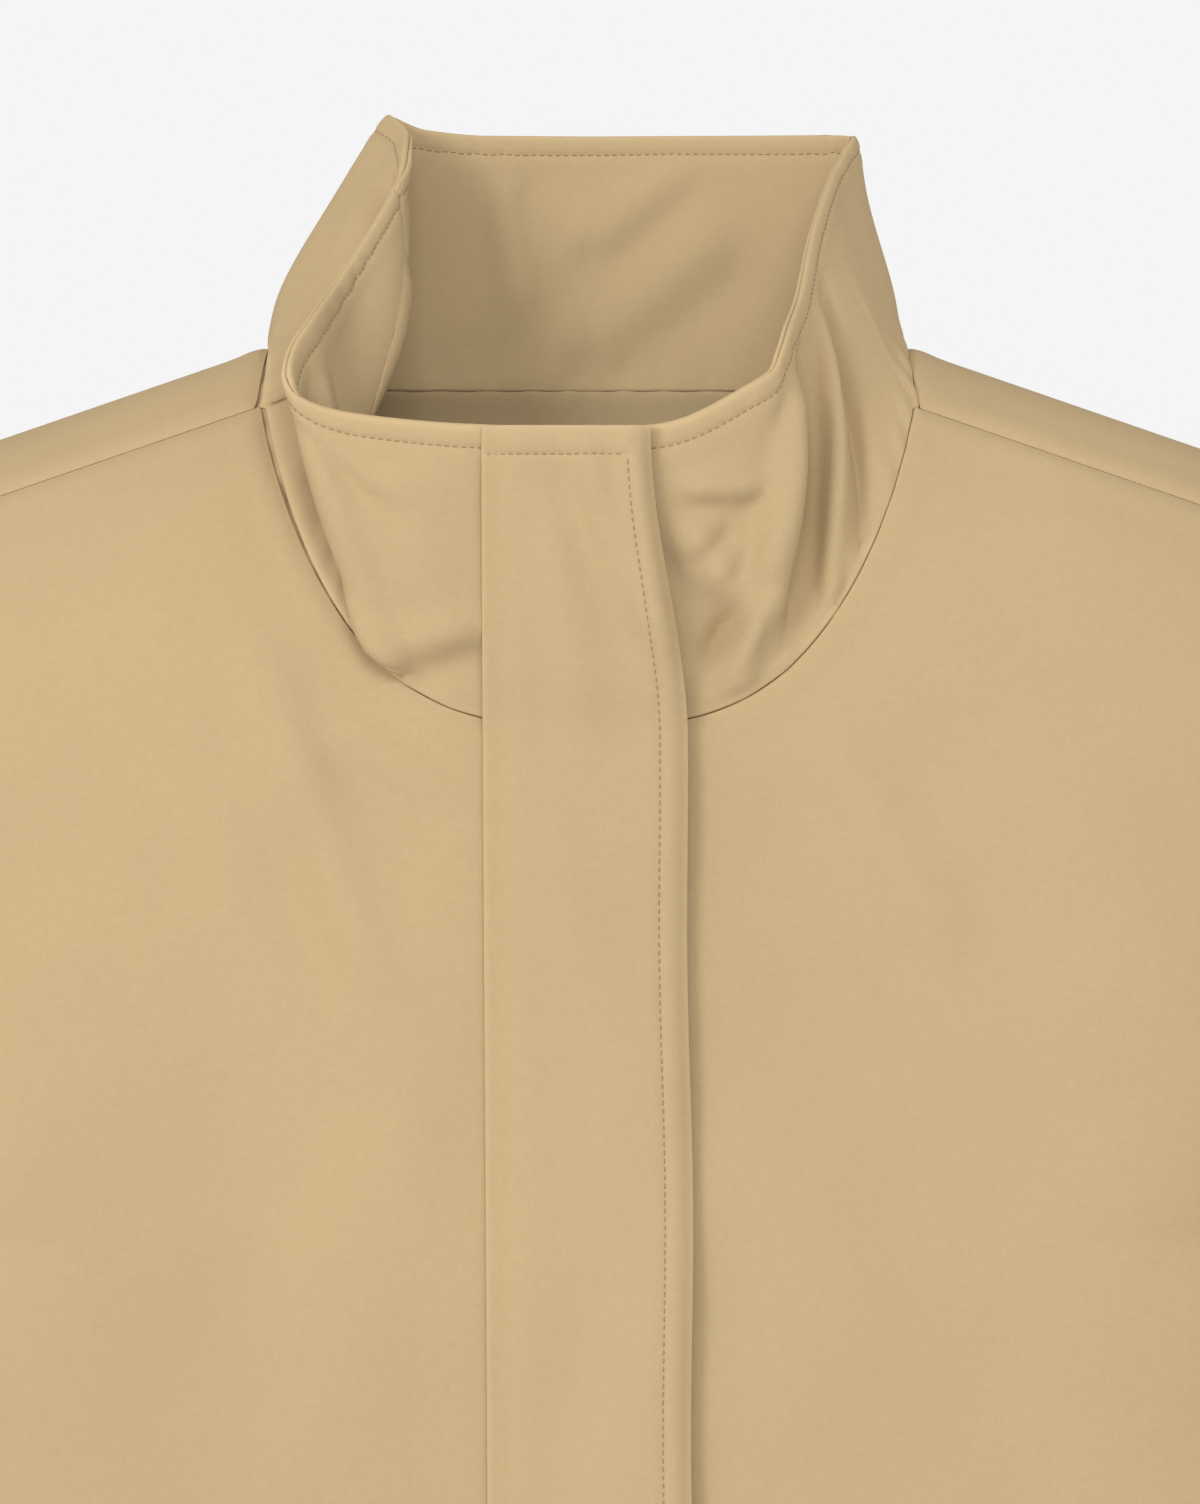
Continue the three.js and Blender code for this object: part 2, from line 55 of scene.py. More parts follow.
# ---- The coat's driving sizes, in millimetres, as the frame has them ----
NECK_HALF = 105.0
FRONT_NECK_DROP = 119.0
BACK_NECK_DROP = 8.4
ARMHOLE_SPAN = 250.0
SLOPE = math.tan(math.radians(19.0))
SEAM_FORWARD = 66.0
HALF_DEPTH = 60.0
ROUNDING = 115.0
SIDE_ROUNDING = 110.0
SIDE_REST = 80.0
HEM_Z = -860.0
HEM_FLARE = 40.0
SHOULDER_TIP_Z = -(ARMHOLE_SPAN - NECK_HALF) * SLOPE
ARMHOLE_CENTRE_Z = SHOULDER_TIP_Z - ROUNDING
ARMHOLE_BOTTOM_Z = SHOULDER_TIP_Z - 2 * ROUNDING
SEAM_GAP = 0.3
OPENING_HALF = 7.0
FACING_EDGE = 68.0
HEM_TOP_Z = HEM_Z + 60.0
LINING_LAP = 12.0
YOKE_Z = -112.0
FRONT_FACE_Y = -(HALF_DEPTH + SEAM_GAP / 2)

# Depth of each cloth layer's middle inside the outer surface, and its thickness.
SHELL = (0.75, 1.4)
TURNED = (2.9, 2.0)
FACING = (3.4, 1.3)
LINING = (5.0, 0.9)

GRID_STEP = 3.2


# ---- Small numeric helpers ----
def box_mm(node):
    return [np.array(corner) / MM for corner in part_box(node)]


def bell(value, width):
    return np.exp(-(value / width) ** 2)


def smooth_step(value):
    value = np.clip(value, 0.0, 1.0)
    return value * value * (3 - 2 * value)


def lengths_along(points):
    steps = np.linalg.norm(np.diff(points, axis=0), axis=1)
    return np.concatenate([[0.0], np.cumsum(steps)])


def points_at(wanted, along, points):
    """The places on a line of points at the wanted values of along."""
    return np.stack([np.interp(wanted, along, points[:, k]) for k in range(3)], axis=1)


def resample(points, count):
    along = lengths_along(points)
    return points_at(np.linspace(0.0, along[-1], count), along, points)


def curve_through(points, count):
    """A centripetal Catmull-Rom curve through the points, evenly spaced along its length."""
    points = np.asarray(points, float)
    padded = np.vstack([2 * points[0] - points[1], points, 2 * points[-1] - points[-2]])
    pieces = []
    for k in range(len(points) - 1):
        p0, p1, p2, p3 = padded[k:k + 4]
        t1 = np.linalg.norm(p1 - p0) ** 0.5
        t2 = t1 + np.linalg.norm(p2 - p1) ** 0.5
        t3 = t2 + np.linalg.norm(p3 - p2) ** 0.5
        t = np.linspace(t1, t2, 40)[:, None]
        a1 = (t1 - t) / t1 * p0 + t / t1 * p1
        a2 = (t2 - t) / (t2 - t1) * p1 + (t - t1) / (t2 - t1) * p2
        a3 = (t3 - t) / (t3 - t2) * p2 + (t - t2) / (t3 - t2) * p3
        b1 = (t2 - t) / t2 * a1 + t / t2 * a2
        b2 = (t3 - t) / (t3 - t1) * a2 + (t - t1) / (t3 - t1) * a3
        pieces.append((t2 - t) / (t2 - t1) * b1 + (t - t1) / (t2 - t1) * b2)
    return resample(np.vstack(pieces), count)


def edge_positions(length, thickness, step=GRID_STEP, stitch=None):
    """Distances from 0 to length, fine at both ends and around a row of stitches."""
    radius = thickness / 2
    near = [radius * (1 - math.cos(QUARTER * k / 3)) for k in range(4)]
    gap = radius
    while gap < step:
        near.append(near[-1] + gap)
        gap *= 1.35
    if stitch:
        clear = [d for d in near if abs(d - stitch) > 1.6]
        near = sorted(clear + [stitch + shift for shift in (-1.3, -0.6, 0.0, 0.6, 1.3)])
    near = np.array([d for d in near if d < length / 2 - gap / 2])
    middle_length = length - 2 * near[-1]
    middle = np.linspace(near[-1], length - near[-1], max(int(middle_length / step), 2) + 1)
    return np.concatenate([near[:-1], middle, (length - near[:-1])[::-1]])


def fit_positions(positions, lengths):
    """The positions stretched to other lengths, with both ends kept as they are."""
    whole = positions[-1]
    keep = whole * 0.1
    lengths = np.asarray(lengths, float)[None, :]
    p = positions[:, None]
    middle = keep + (p - keep) * (lengths - 2 * keep) / (whole - 2 * keep)
    return np.where(p <= keep, p, np.where(p >= whole - keep, lengths - (whole - p), middle))


def grid_normals(grid, ring=False):
    if ring:
        across = np.roll(grid, -1, axis=1) - np.roll(grid, 1, axis=1)
    else:
        across = np.gradient(grid, axis=1)
    down = np.gradient(grid, axis=0)
    normal = np.cross(across, down)
    size = np.linalg.norm(normal, axis=2, keepdims=True)
    return normal / np.maximum(size, 1e-9)


# ---- Meshes ----
def mesh_object(name, points, faces, material, wear_and_highlight=None):
    mesh = bpy.data.meshes.new(name)
    mesh.from_pydata((points * MM).tolist(), [], faces)
    mesh.update()
    mesh.shade_smooth()
    if wear_and_highlight is not None:
        attribute = mesh.attributes.new("wear_and_highlight", "FLOAT", "POINT")
        attribute.data.foreach_set("value", wear_and_highlight.astype(np.float32))
    mesh.materials.append(material)
    piece = bpy.data.objects.new(name, mesh)
    bpy.context.scene.collection.objects.link(piece)
    return piece


def cloth_sheet(name, grid, row_edge, column_edge, thickness, material, ring=False, puff=0.5, face=1.0,
                worn_and_highlight=0.3, groove=None):
    """A closed sheet of cloth with rounded edges, around the grid of its middle surface.
    row_edge and column_edge are each grid point's distance from the nearest edge, in millimetres.
    face is the sign of the grid normal's side that shows, where the seam puffs and a row of
    stitches pulls in. groove is each grid point's distance from that row."""
    edge = np.minimum(row_edge, column_edge)
    radius = thickness / 2
    half = radius * np.sqrt(1 - (1 - np.clip(edge / radius, 0, 1)) ** 2)
    half = np.maximum(half, 0.02)
    normals = grid_normals(grid, ring) * face
    seam = puff * (bell(edge - 5.5, 4.0) - 1.1 * bell(edge, 1.6))
    if groove is not None:
        seam = seam + 0.2 * bell(groove - 3.2, 2.4) - 0.4 * bell(groove, 0.8)
    near = grid + normals * (half + np.maximum(seam, -0.6 * half))[..., None]
    far = grid - normals * half[..., None]
    rows, columns = grid.shape[:2]
    points = np.concatenate([near.reshape(-1, 3), far.reshape(-1, 3)])
    # Paler near every edge: partly wear, partly a painted highlight where the cloth rolls over.
    wear_and_highlight = np.concatenate([(worn_and_highlight * bell(edge, 1.5)).ravel()] * 2)
    count = rows * columns
    steps = columns if ring else columns - 1
    faces = []
    for r in range(rows - 1):
        a, b = r * columns, (r + 1) * columns
        for c in range(steps):
            d = (c + 1) % columns
            faces.append((a + c, a + d, b + d, b + c))
            faces.append((count + a + c, count + b + c, count + b + d, count + a + d))
    last = (rows - 1) * columns
    for c in range(steps):
        d = (c + 1) % columns
        faces.append((c, count + c, count + d, d))
        faces.append((last + c, last + d, count + last + d, count + last + c))
    if not ring:
        for r in range(rows - 1):
            a, b = r * columns, (r + 1) * columns
            e, f = a + columns - 1, b + columns - 1
            faces.append((a, b, count + b, count + a))
            faces.append((e, count + e, count + f, f))
    corners = points[np.array(faces)]
    volume = (np.einsum("ij,ij->i", corners[:, 0], np.cross(corners[:, 1], corners[:, 2])).sum()
              + np.einsum("ij,ij->i", corners[:, 0], np.cross(corners[:, 2], corners[:, 3])).sum())
    piece = mesh_object(name, points, faces, material, wear_and_highlight)
    if volume < 0:
        piece.data.flip_normals()
    return piece


def end_distance(positions):
    return np.minimum(positions, positions[-1] - positions)


def edge_distances(grid, rows_mm, columns_mm):
    """Each grid point's distance from the nearest end of its column and of its row."""
    return (np.broadcast_to(end_distance(rows_mm)[:, None], grid.shape[:2]),
            np.broadcast_to(end_distance(columns_mm)[None, :], grid.shape[:2]))


def forward_sign(grid):
    """1 if the grid's normals point forward, along -Y, and -1 if they point back."""
    return -1.0 if np.median(grid_normals(grid)[..., 1]) > 0 else 1.0


def tube_faces(rings, sides):
    """The faces of a closed tube of rings of points, capped at both ends."""
    faces = []
    for low in range(0, (rings - 1) * sides, sides):
        for k in range(sides):
            n = (k + 1) % sides
            faces.append((low + k, low + n, low + sides + n, low + sides + k))
    last = (rings - 1) * sides
    return faces + [tuple(reversed(range(sides))), tuple(range(last, last + sides))]


# ---- Thread ----
def stitch_row(grid_points, normals, pitch=2.6, length=1.9, radius=0.24, lift=0.12):
    """Points and faces of a row of stitches that lie on a line of surface points."""
    along = lengths_along(grid_points)
    centres = np.arange(pitch, along[-1] - pitch, pitch)
    middle = points_at(centres, along, grid_points)
    direction = points_at(centres + 0.5, along, grid_points) - points_at(centres - 0.5, along, grid_points)
    direction /= np.linalg.norm(direction, axis=1, keepdims=True)
    up = points_at(centres, along, normals)
    up -= direction * np.sum(up * direction, axis=1, keepdims=True)
    up /= np.linalg.norm(up, axis=1, keepdims=True)
    side = np.cross(direction, up)
    stations = [(-0.5, 0.25, -0.9), (-0.4, 0.8, 0.1), (0.0, 1.0, 0.5), (0.4, 0.8, 0.1), (0.5, 0.25, -0.9)]
    sides = 6
    blocks = []
    for share, size, rise in stations:
        for k in range(sides):
            angle = 2 * math.pi * k / sides
            blocks.append(middle + direction * (share * length)
                          + up * (lift + rise * radius + size * radius * math.sin(angle))
                          + side * (size * radius * math.cos(angle)))
    points = np.stack(blocks, axis=1)
    per = points.shape[1]
    pattern = tube_faces(len(stations), sides)
    faces = [tuple(per * m + v for v in face) for m in range(len(centres)) for face in pattern]
    return points.reshape(-1, 3), faces


def add_stitches(name, rows, body="root", blend=None):
    points, faces, base = [], [], 0
    for row_points, row_normals in rows:
        more, more_faces = stitch_row(row_points, row_normals)
        faces += [tuple(v + base for v in face) for face in more_faces]
        points.append(more)
        base += len(more)
    thread = mesh_object(name, np.concatenate(points), faces, thread_cloth)
    finish_piece(thread, body, [], blend=blend)


def grid_line(grid, thickness, column=None, row=None, outward=1.0, ring=False):
    """A line of the sheet's surface points and normals, along one column or one row."""
    normals = grid_normals(grid, ring) * outward
    pick = (slice(None), column) if column is not None else (row, slice(None))
    return grid[pick] + normals[pick] * thickness / 2, normals[pick]


# ---- Materials ----
def new_material(name):
    material = bpy.data.materials.new(name)
    material.use_nodes = True
    nodes, links = material.node_tree.nodes, material.node_tree.links
    return material, nodes, links, nodes["Principled BSDF"]


def stretched_noise(nodes, links, scale, size=1.0, detail=3.0):
    place = nodes.new("ShaderNodeTexCoord")
    mapping = nodes.new("ShaderNodeMapping")
    mapping.inputs["Scale"].default_value = scale
    noise = nodes.new("ShaderNodeTexNoise")
    noise.inputs["Scale"].default_value = size
    noise.inputs["Detail"].default_value = detail
    links.new(place.outputs["Object"], mapping.inputs["Vector"])
    links.new(mapping.outputs["Vector"], noise.inputs["Vector"])
    return noise.outputs["Fac"]


def feed(links, socket, value):
    if isinstance(value, bpy.types.NodeSocket):
        links.new(value, socket)
    else:
        socket.default_value = value


def mixed(nodes, links, mode, factor, first, second):
    mix = nodes.new("ShaderNodeMix")
    mix.data_type = "RGBA"
    mix.blend_type = mode
    for socket, value in ((0, factor), (6, first), (7, second)):
        feed(links, mix.inputs[socket], value)
    return mix.outputs[2]


def math_node(nodes, links, operation, first, second):
    node = nodes.new("ShaderNodeMath")
    node.operation = operation
    feed(links, node.inputs[0], first)
    feed(links, node.inputs[1], second)
    return node.outputs[0]


def ramp(nodes, links, value, low, high, dark, light):
    band = nodes.new("ShaderNodeMapRange")
    for socket, setting in zip(("From Min", "From Max", "To Min", "To Max"), (low, high, dark, light)):
        band.inputs[socket].default_value = setting
    links.new(value, band.inputs["Value"])
    return band.outputs["Result"]


def scaled(colour, share):
    return (colour[0] * share, colour[1] * share, colour[2] * share, 1.0)


def cloth_material(name, colour, thread=2300.0, bump=0.16, roughness=0.9, sheen=0.15, wear_and_highlight=0.55):
    """Woven cloth: threads both ways, slubs, soft mottling, and paler edges that are partly wear and partly
    a painted highlight on the rolled edges.
    """
    material, nodes, links, shader = new_material(name)
    warp = stretched_noise(nodes, links, (thread, thread, thread * 0.09))
    weft = stretched_noise(nodes, links, (thread * 0.09, thread * 0.09, thread))
    blotch = stretched_noise(nodes, links, (9.0, 9.0, 6.0), detail=4.0)
    fleck = stretched_noise(nodes, links, (420.0, 420.0, 420.0), detail=5.0)
    soft = mixed(nodes, links, "MIX", ramp(nodes, links, blotch, 0.35, 0.65, 0.0, 1.0),
                 scaled(colour, 0.97), scaled(colour, 1.03))
    threads = math_node(nodes, links, "ADD", warp, weft)
    woven = mixed(nodes, links, "MULTIPLY", ramp(nodes, links, threads, 0.75, 1.25, 0.0, 0.22),
                  soft, (0.86, 0.83, 0.78, 1.0))
    flecked = mixed(nodes, links, "MULTIPLY", ramp(nodes, links, fleck, 0.3, 0.7, 0.16, 0.0),
                    woven, (0.8, 0.76, 0.7, 1.0))
    # Edges lighten towards 1.28 of the colour: partly wear, partly a painted highlight on the rolled edges.
    edge = nodes.new("ShaderNodeAttribute")
    edge.attribute_name = "wear_and_highlight"
    worn_and_highlight = math_node(nodes, links, "MULTIPLY", edge.outputs["Fac"], wear_and_highlight)
    final = mixed(nodes, links, "MIX", worn_and_highlight, flecked, scaled(colour, 1.28))
    links.new(final, shader.inputs["Base Color"])
    rough = ramp(nodes, links, fleck, 0.3, 0.7, roughness - 0.05, min(roughness + 0.05, 1.0))
    links.new(rough, shader.inputs["Roughness"])
    shader.inputs["Sheen Weight"].default_value = sheen
    shader.inputs["Sheen Roughness"].default_value = 0.6
    shader.inputs["Sheen Tint"].default_value = scaled(colour, 1.0)
    shader.inputs["Specular IOR Level"].default_value = 0.15
    relief = nodes.new("ShaderNodeBump")
    relief.inputs["Strength"].default_value = bump
    relief.inputs["Distance"].default_value = 0.0004
    links.new(threads, relief.inputs["Height"])
    links.new(relief.outputs["Normal"], shader.inputs["Normal"])
    return material


def metal_material(name, colour, roughness):
    material, nodes, links, shader = new_material(name)
    scratch = stretched_noise(nodes, links, (900.0, 900.0, 120.0), detail=4.0)
    tint = mixed(nodes, links, "MIX", ramp(nodes, links, scratch, 0.3, 0.7, 0.0, 1.0),
                 scaled(colour, 0.8), scaled(colour, 1.1))
    links.new(tint, shader.inputs["Base Color"])
    links.new(ramp(nodes, links, scratch, 0.3, 0.7, roughness, roughness + 0.2), shader.inputs["Roughness"])
    shader.inputs["Metallic"].default_value = 1.0
    return material


SHELL_COLOUR = (0.47, 0.347, 0.19)
shell_cloth = cloth_material("shell_cloth", SHELL_COLOUR)
# The facing is the shell's own cloth, painted about a fifth lighter: painted light for the shaded inside of
# the collar and neck.
facing_cloth = cloth_material("facing_cloth", (0.56, 0.42, 0.235))
lining_cloth = cloth_material("lining_cloth", (0.42, 0.32, 0.18), thread=3200, bump=0.08, roughness=0.7)
tape_cloth = cloth_material("tape_cloth", (0.43, 0.31, 0.14), thread=1500, bump=0.3)
grip_cloth = cloth_material("grip_cloth", (0.37, 0.26, 0.12), thread=900, bump=0.8, roughness=0.95)
thread_cloth = cloth_material("thread_cloth", (0.34, 0.235, 0.11), thread=4000, bump=0.2, sheen=0.2)
zip_metal = metal_material("zip_metal", (0.42, 0.29, 0.10), 0.3)


# ---- The body's surface ----
def ridge_z(x):
    return -(np.abs(x) - NECK_HALF) * SLOPE


def drop_to_height(x, z):
    fall = ridge_z(x) - z
    curved = ROUNDING * np.arccos(np.clip(1 - fall / ROUNDING, -1, 1))
    return np.where(fall >= ROUNDING, ROUNDING * QUARTER + fall - ROUNDING, curved)


def round_factor(share):
    left = 1 - np.clip(share, 0, 1)
    return np.sqrt(1 - left * left)


def side_reach(z, inset):
    rounding = SIDE_ROUNDING - inset
    at_armhole = round_factor((SIDE_REST - inset) / rounding)
    share = np.clip((ARMHOLE_CENTRE_Z - z) / (ROUNDING - inset), 0, 1)
    curved = ARMHOLE_SPAN + rounding * (1 - np.sqrt(1 - at_armhole ** 2 * (1 - share * share)))
    below = ARMHOLE_SPAN - inset + HEM_FLARE * (ARMHOLE_BOTTOM_Z - z) / (ARMHOLE_BOTTOM_Z - HEM_Z)
    upper = np.where(z >= ARMHOLE_CENTRE_Z, ARMHOLE_SPAN + SIDE_REST - inset, curved)
    return np.where(z > ARMHOLE_BOTTOM_Z + 0.01, upper, below)


def body_surface(side, x, drop, inset):
    """side is -1 for the front and 1 for the back. A negative drop passes over the shoulder ridge."""
    angle = drop / ROUNDING
    over = ridge_z(x) - inset - (ROUNDING - inset) * (1 - np.cos(angle))
    straight = ridge_z(x) - ROUNDING - (drop - ROUNDING * QUARTER)
    z = np.where(angle >= QUARTER, straight, over)
    reach = side_reach(z, inset)
    across = np.abs(x)
    flared = NECK_HALF + (across - NECK_HALF) * (reach - NECK_HALF) / (ARMHOLE_SPAN - NECK_HALF)
    across = np.where((z <= ARMHOLE_BOTTOM_Z + 0.01) & (across > NECK_HALF), flared, across)
    turn = np.sin(np.minimum(angle, QUARTER))
    rounded = round_factor((reach - across) / (SIDE_ROUNDING - inset))
    y = side * (SEAM_GAP / 2 + (HALF_DEPTH - inset) * turn * rounded)
    return np.stack([np.sign(x) * across, y, z], axis=-1)


def front_neck_z(x):
    share = np.minimum(np.abs(x) / NECK_HALF, 1)
    return -FRONT_NECK_DROP * (1 - share ** 3) ** 0.68


def front_top(x):
    seam = SEAM_FORWARD + SEAM_GAP / 2
    return np.maximum(drop_to_height(x, front_neck_z(x)), seam)


RIDGE_START = 97.0


def back_top(x):
    inner = drop_to_height(x, -BACK_NECK_DROP)
    seam = -(SEAM_FORWARD - SEAM_GAP / 2)
    return inner + (seam - inner) * smooth_step((np.abs(x) - RIDGE_START) / (NECK_HALF - RIDGE_START))


# Soft folds of the hanging cloth: two ends, as shares of the body's half width and of its length,
# then the width and the height in millimetres.
FRONT_FOLDS = [
    ((-0.30, 0.140), (-0.16, 0.168), 6, 2.0), ((-0.40, 0.12), (-0.27, 0.23), 10, 3.4),
    ((-0.58, 0.08), (-0.38, 0.17), 18, 2.2), ((0.30, 0.14), (0.46, 0.22), 12, 2.8),
    ((0.45, 0.10), (0.66, 0.19), 24, 2.0),
    ((-0.20, 0.27), (-0.48, 0.52), 26, 2.6), ((-0.60, 0.20), (-0.88, 0.40), 30, 3.0),
    ((0.68, 0.18), (0.88, 0.38), 28, 3.0), ((0.26, 0.30), (0.52, 0.46), 24, 2.4),
    ((0.30, 0.50), (0.50, 0.82), 40, 3.4), ((-0.76, 0.50), (-0.68, 0.90), 42, 3.6),
    ((0.84, 0.50), (0.76, 0.90), 42, 3.6),
]
BACK_FOLDS = [
    ((-0.24, 0.14), (-0.60, 0.38), 40, 3.0), ((0.24, 0.14), (0.56, 0.38), 40, 3.0),
    ((-0.52, 0.38), (-0.44, 0.95), 45, 3.6), ((0.08, 0.30), (0.0, 0.95), 45, 3.2),
    ((0.60, 0.38), (0.68, 0.95), 45, 3.6),
]


def placed_folds(folds, x, z, across, down):
    """Folds given as shares, placed from (x, z) over a width and a length."""
    return [((x + a * across, z + b * down), (x + c * across, z + d * down), width, height)
            for (a, b), (c, d), width, height in folds]


def fold_height(x, z, folds):
    total = np.zeros_like(x)
    for (x0, z0), (x1, z1), width, height in folds:
        run = np.array([x1 - x0, z1 - z0], float)
        size = np.hypot(*run)
        along = ((x - x0) * run[0] + (z - z0) * run[1]) / size ** 2
        off = ((x - x0) * run[1] - (z - z0) * run[0]) / size
        ends = bell(along - np.clip(along, 0.15, 0.85), 0.22)
        total += height * ends * (bell(off, width) - 0.45 * bell(off - 1.6 * width, width))
    return total


def cloth_wobble(x, z, height):
    """Small uneven waves that no real cloth is free of."""
    waves = [(0.031, 0.019, 0.3, 0.5), (0.022, -0.034, 1.7, 0.4), (0.083, 0.041, 2.9, 0.13),
             (-0.052, 0.097, 4.1, 0.12), (0.17, -0.12, 0.9, 0.05), (0.11, 0.21, 2.2, 0.05)]
    return height * sum(size * np.sin(a * x + b * z + shift) for a, b, shift, size in waves)


def body_grid(side, columns, rows_mm, top_trim, bottom_drop, inset):
    top = (front_top if side < 0 else back_top)(columns) + top_trim
    drops = top[None, :] + fit_positions(rows_mm, bottom_drop(columns) - top)
    x = np.broadcast_to(columns, drops.shape)
    outer = body_surface(side, x, drops, 0.0)
    middle = body_surface(side, x, drops, inset)
    normals = grid_normals(outer)
    if np.median(normals[..., 1]) * side < 0:
        normals = -normals
    placed = placed_folds(FRONT_FOLDS if side < 0 else BACK_FOLDS, 0, 0, ARMHOLE_SPAN, HEM_Z)
    folds = fold_height(outer[..., 0], outer[..., 2], placed)
    folds = folds + cloth_wobble(outer[..., 0], outer[..., 2], 1.5)
    calm = smooth_step((ARMHOLE_SPAN - np.abs(x)) / 25.0)
    if side < 0:
        neck = np.hypot(x / NECK_HALF, outer[..., 2] / FRONT_NECK_DROP)
        calm = calm * smooth_step((neck - 1.02) / 0.25) * smooth_step((drops - SEAM_FORWARD) / 25.0)
        calm = calm * smooth_step((np.abs(x) - 25.0) / 35.0)
    else:
        calm = calm * smooth_step((drops - drop_to_height(0.0, -BACK_NECK_DROP)) / 40.0)
    return middle + normals * (folds * calm)[..., None]


# How far below the neck the distance from the seam is measured along the cloth, not down it.
SEAM_REACH = 110.0
STEEP_SEAM = 27.0
# The fronts' edges don't puff beside the zip, so that the pull can swing.
FLAT_BY_ZIP = 16.0
FLAT_FADE = 20.0


def line_distance(points, line):
    """Each point's distance from the nearest stretch of the line."""
    nearest = np.full(points.shape[:2], np.inf)
    for start, end in zip(line[:-1], line[1:]):
        run = end - start
        share = np.clip((points - start) @ run / np.dot(run, run), 0, 1)
        gap = np.linalg.norm(points - start - share[..., None] * run, axis=2)
        nearest = np.minimum(nearest, gap)
    return nearest


def panel_columns(first, last, thickness):
    """Columns of a panel, closer together where the neck seam is steep."""
    columns = first + edge_positions(last - first, thickness)
    close = np.concatenate([np.arange(NECK_HALF - STEEP_SEAM, RIDGE_START, 1.2),
                            np.arange(RIDGE_START, NECK_HALF + 1.5, 0.5)])
    for x in np.concatenate([-close, close]):
        if first + 4 < x < last - 4 and np.min(np.abs(columns - x)) > 0.2:
            columns = np.append(columns, x)
    return np.sort(columns)


def body_piece(name, side, first, last, layer, material, top_trim=0.0, low_z=HEM_Z, top_z=None):
    """A body panel, facing or lining between two columns, down to low_z."""
    inset, thickness = layer
    columns = panel_columns(first, last, thickness)
    top = (front_top if side < 0 else back_top)(columns)
    if top_z is not None:
        top_trim = drop_to_height(columns, top_z) - top
    length = float(np.max(drop_to_height(columns, low_z) - top - top_trim))
    rows_mm = edge_positions(length, thickness)
    grid = body_grid(side, columns, rows_mm, top_trim, lambda x: drop_to_height(x, low_z), inset)
    from_top = np.repeat(rows_mm[:, None], len(columns), axis=1)
    if layer is SHELL:
        near = rows_mm < SEAM_REACH
        from_top[near] = np.minimum(from_top[near], line_distance(grid[near], grid[0]))
    row_edge = np.minimum(from_top, (rows_mm[-1] - rows_mm)[:, None])
    column_edge = np.broadcast_to(end_distance(columns - first)[None, :], grid.shape[:2])
    outward = -side * forward_sign(grid)
    face = outward if layer is SHELL else -outward
    puff = np.full(len(columns), 0.5 if layer is SHELL else 0.2)
    if side < 0:
        puff *= smooth_step((np.abs(columns) - FLAT_BY_ZIP) / FLAT_FADE)
    piece = cloth_sheet(name, grid, row_edge, column_edge, thickness, material,
                        puff=puff[None, :], face=face)
    return piece, grid, outward


def finish_piece(piece, body, nodes, blend=None):
    if blend is None:
        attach(piece, body)
    else:
        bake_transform(piece)
    if nodes:
        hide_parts(*nodes)


# ---- Panels, facings and linings of the body ----
def add_panel(name, node, side, span, layer, cloth, flat, area, **heights):
    piece, grid, outward = body_piece(name, side, *span, layer, cloth, **heights)
    finish_piece(piece, "root", [node])
    return grid, outward


def add_front(name, direction):
    def span(inner, outer):
        return (inner, outer) if direction > 0 else (-outer, -inner)

    whole = span(OPENING_HALF, ARMHOLE_SPAN)
    by_zip = span(OPENING_HALF, FACING_EDGE)
    beside = span(FACING_EDGE - LINING_LAP, ARMHOLE_SPAN)
    surface = add_panel(f"front_{name}", f"front_panel_{name}", -1, whole, SHELL, shell_cloth,
                        (0.29, 0.86), 0.87)
    add_panel(f"facing_{name}", f"front_facing_{name}", -1, by_zip, FACING, facing_cloth,
              (0.061, 0.70), 0.98, low_z=HEM_TOP_Z)
    add_panel(f"lining_front_{name}", f"lining_{name}", -1, beside, LINING, lining_cloth,
              (0.235, 0.81), 0.86, low_z=HEM_TOP_Z - LINING_LAP)
    add_panel(f"hem_{name}", f"hem_facing_{name}", -1, whole, TURNED, facing_cloth,
              (0.30, 0.06), 0.98, top_z=HEM_TOP_Z)
    return surface


def add_back():
    span = (-ARMHOLE_SPAN, ARMHOLE_SPAN)
    surface = add_panel("back", "back_panel", 1, span, SHELL, shell_cloth, (0.60, 1.0), 0.80)
    add_panel("back_neck_facing", "back_yoke_facing", 1, span, TURNED, facing_cloth,
              (0.52, 0.22), 0.59, low_z=YOKE_Z)
    add_panel("lining_back_panel", "lining_back", 1, span, LINING, lining_cloth,
              (0.60, 0.73), 0.90, top_z=YOKE_Z + LINING_LAP, low_z=HEM_TOP_Z - LINING_LAP)
    add_panel("hem_back", "hem_facing_back", 1, span, TURNED, facing_cloth,
              (0.62, 0.06), 0.98, top_z=HEM_TOP_Z)
    return surface


# ---- Collar ----
# The rim's stations. Each has its share of the neck seam, from the centre front to the centre back,
# its place in the collar's box as shares across, back and up, and the band's bulge in millimetres.
RIM_FRONT_HEIGHT = 0.49
RIM_BACK_HEIGHT = 1.0
RIGHT_RIM = [
    (0.02, 0.07, 0.00, 0.485, 0), (0.08, 0.36, 0.00, RIM_FRONT_HEIGHT, 0),
    (0.13, 0.72, 0.00, 0.51, 1), (0.155, 0.87, 0.00, 0.54, 4), (0.17, 0.91, 0.02, 0.575, 5),
    (0.19, 0.90, 0.06, 0.61, 2), (0.24, 0.84, 0.16, 0.67, -6), (0.32, 0.76, 0.32, 0.74, -12),
    (0.46, 0.62, 0.54, 0.87, -24), (0.54, 0.56, 0.68, 0.95, -14), (0.60, 0.55, 0.80, 1.00, 2),
    (0.66, 0.61, 0.92, 1.035, 8), (0.72, 0.50, 0.98, 1.01, 4), (0.82, 0.30, 1.0, RIM_BACK_HEIGHT, 2),
    (1.0, 0.0, 1.0, RIM_BACK_HEIGHT, 2),
]
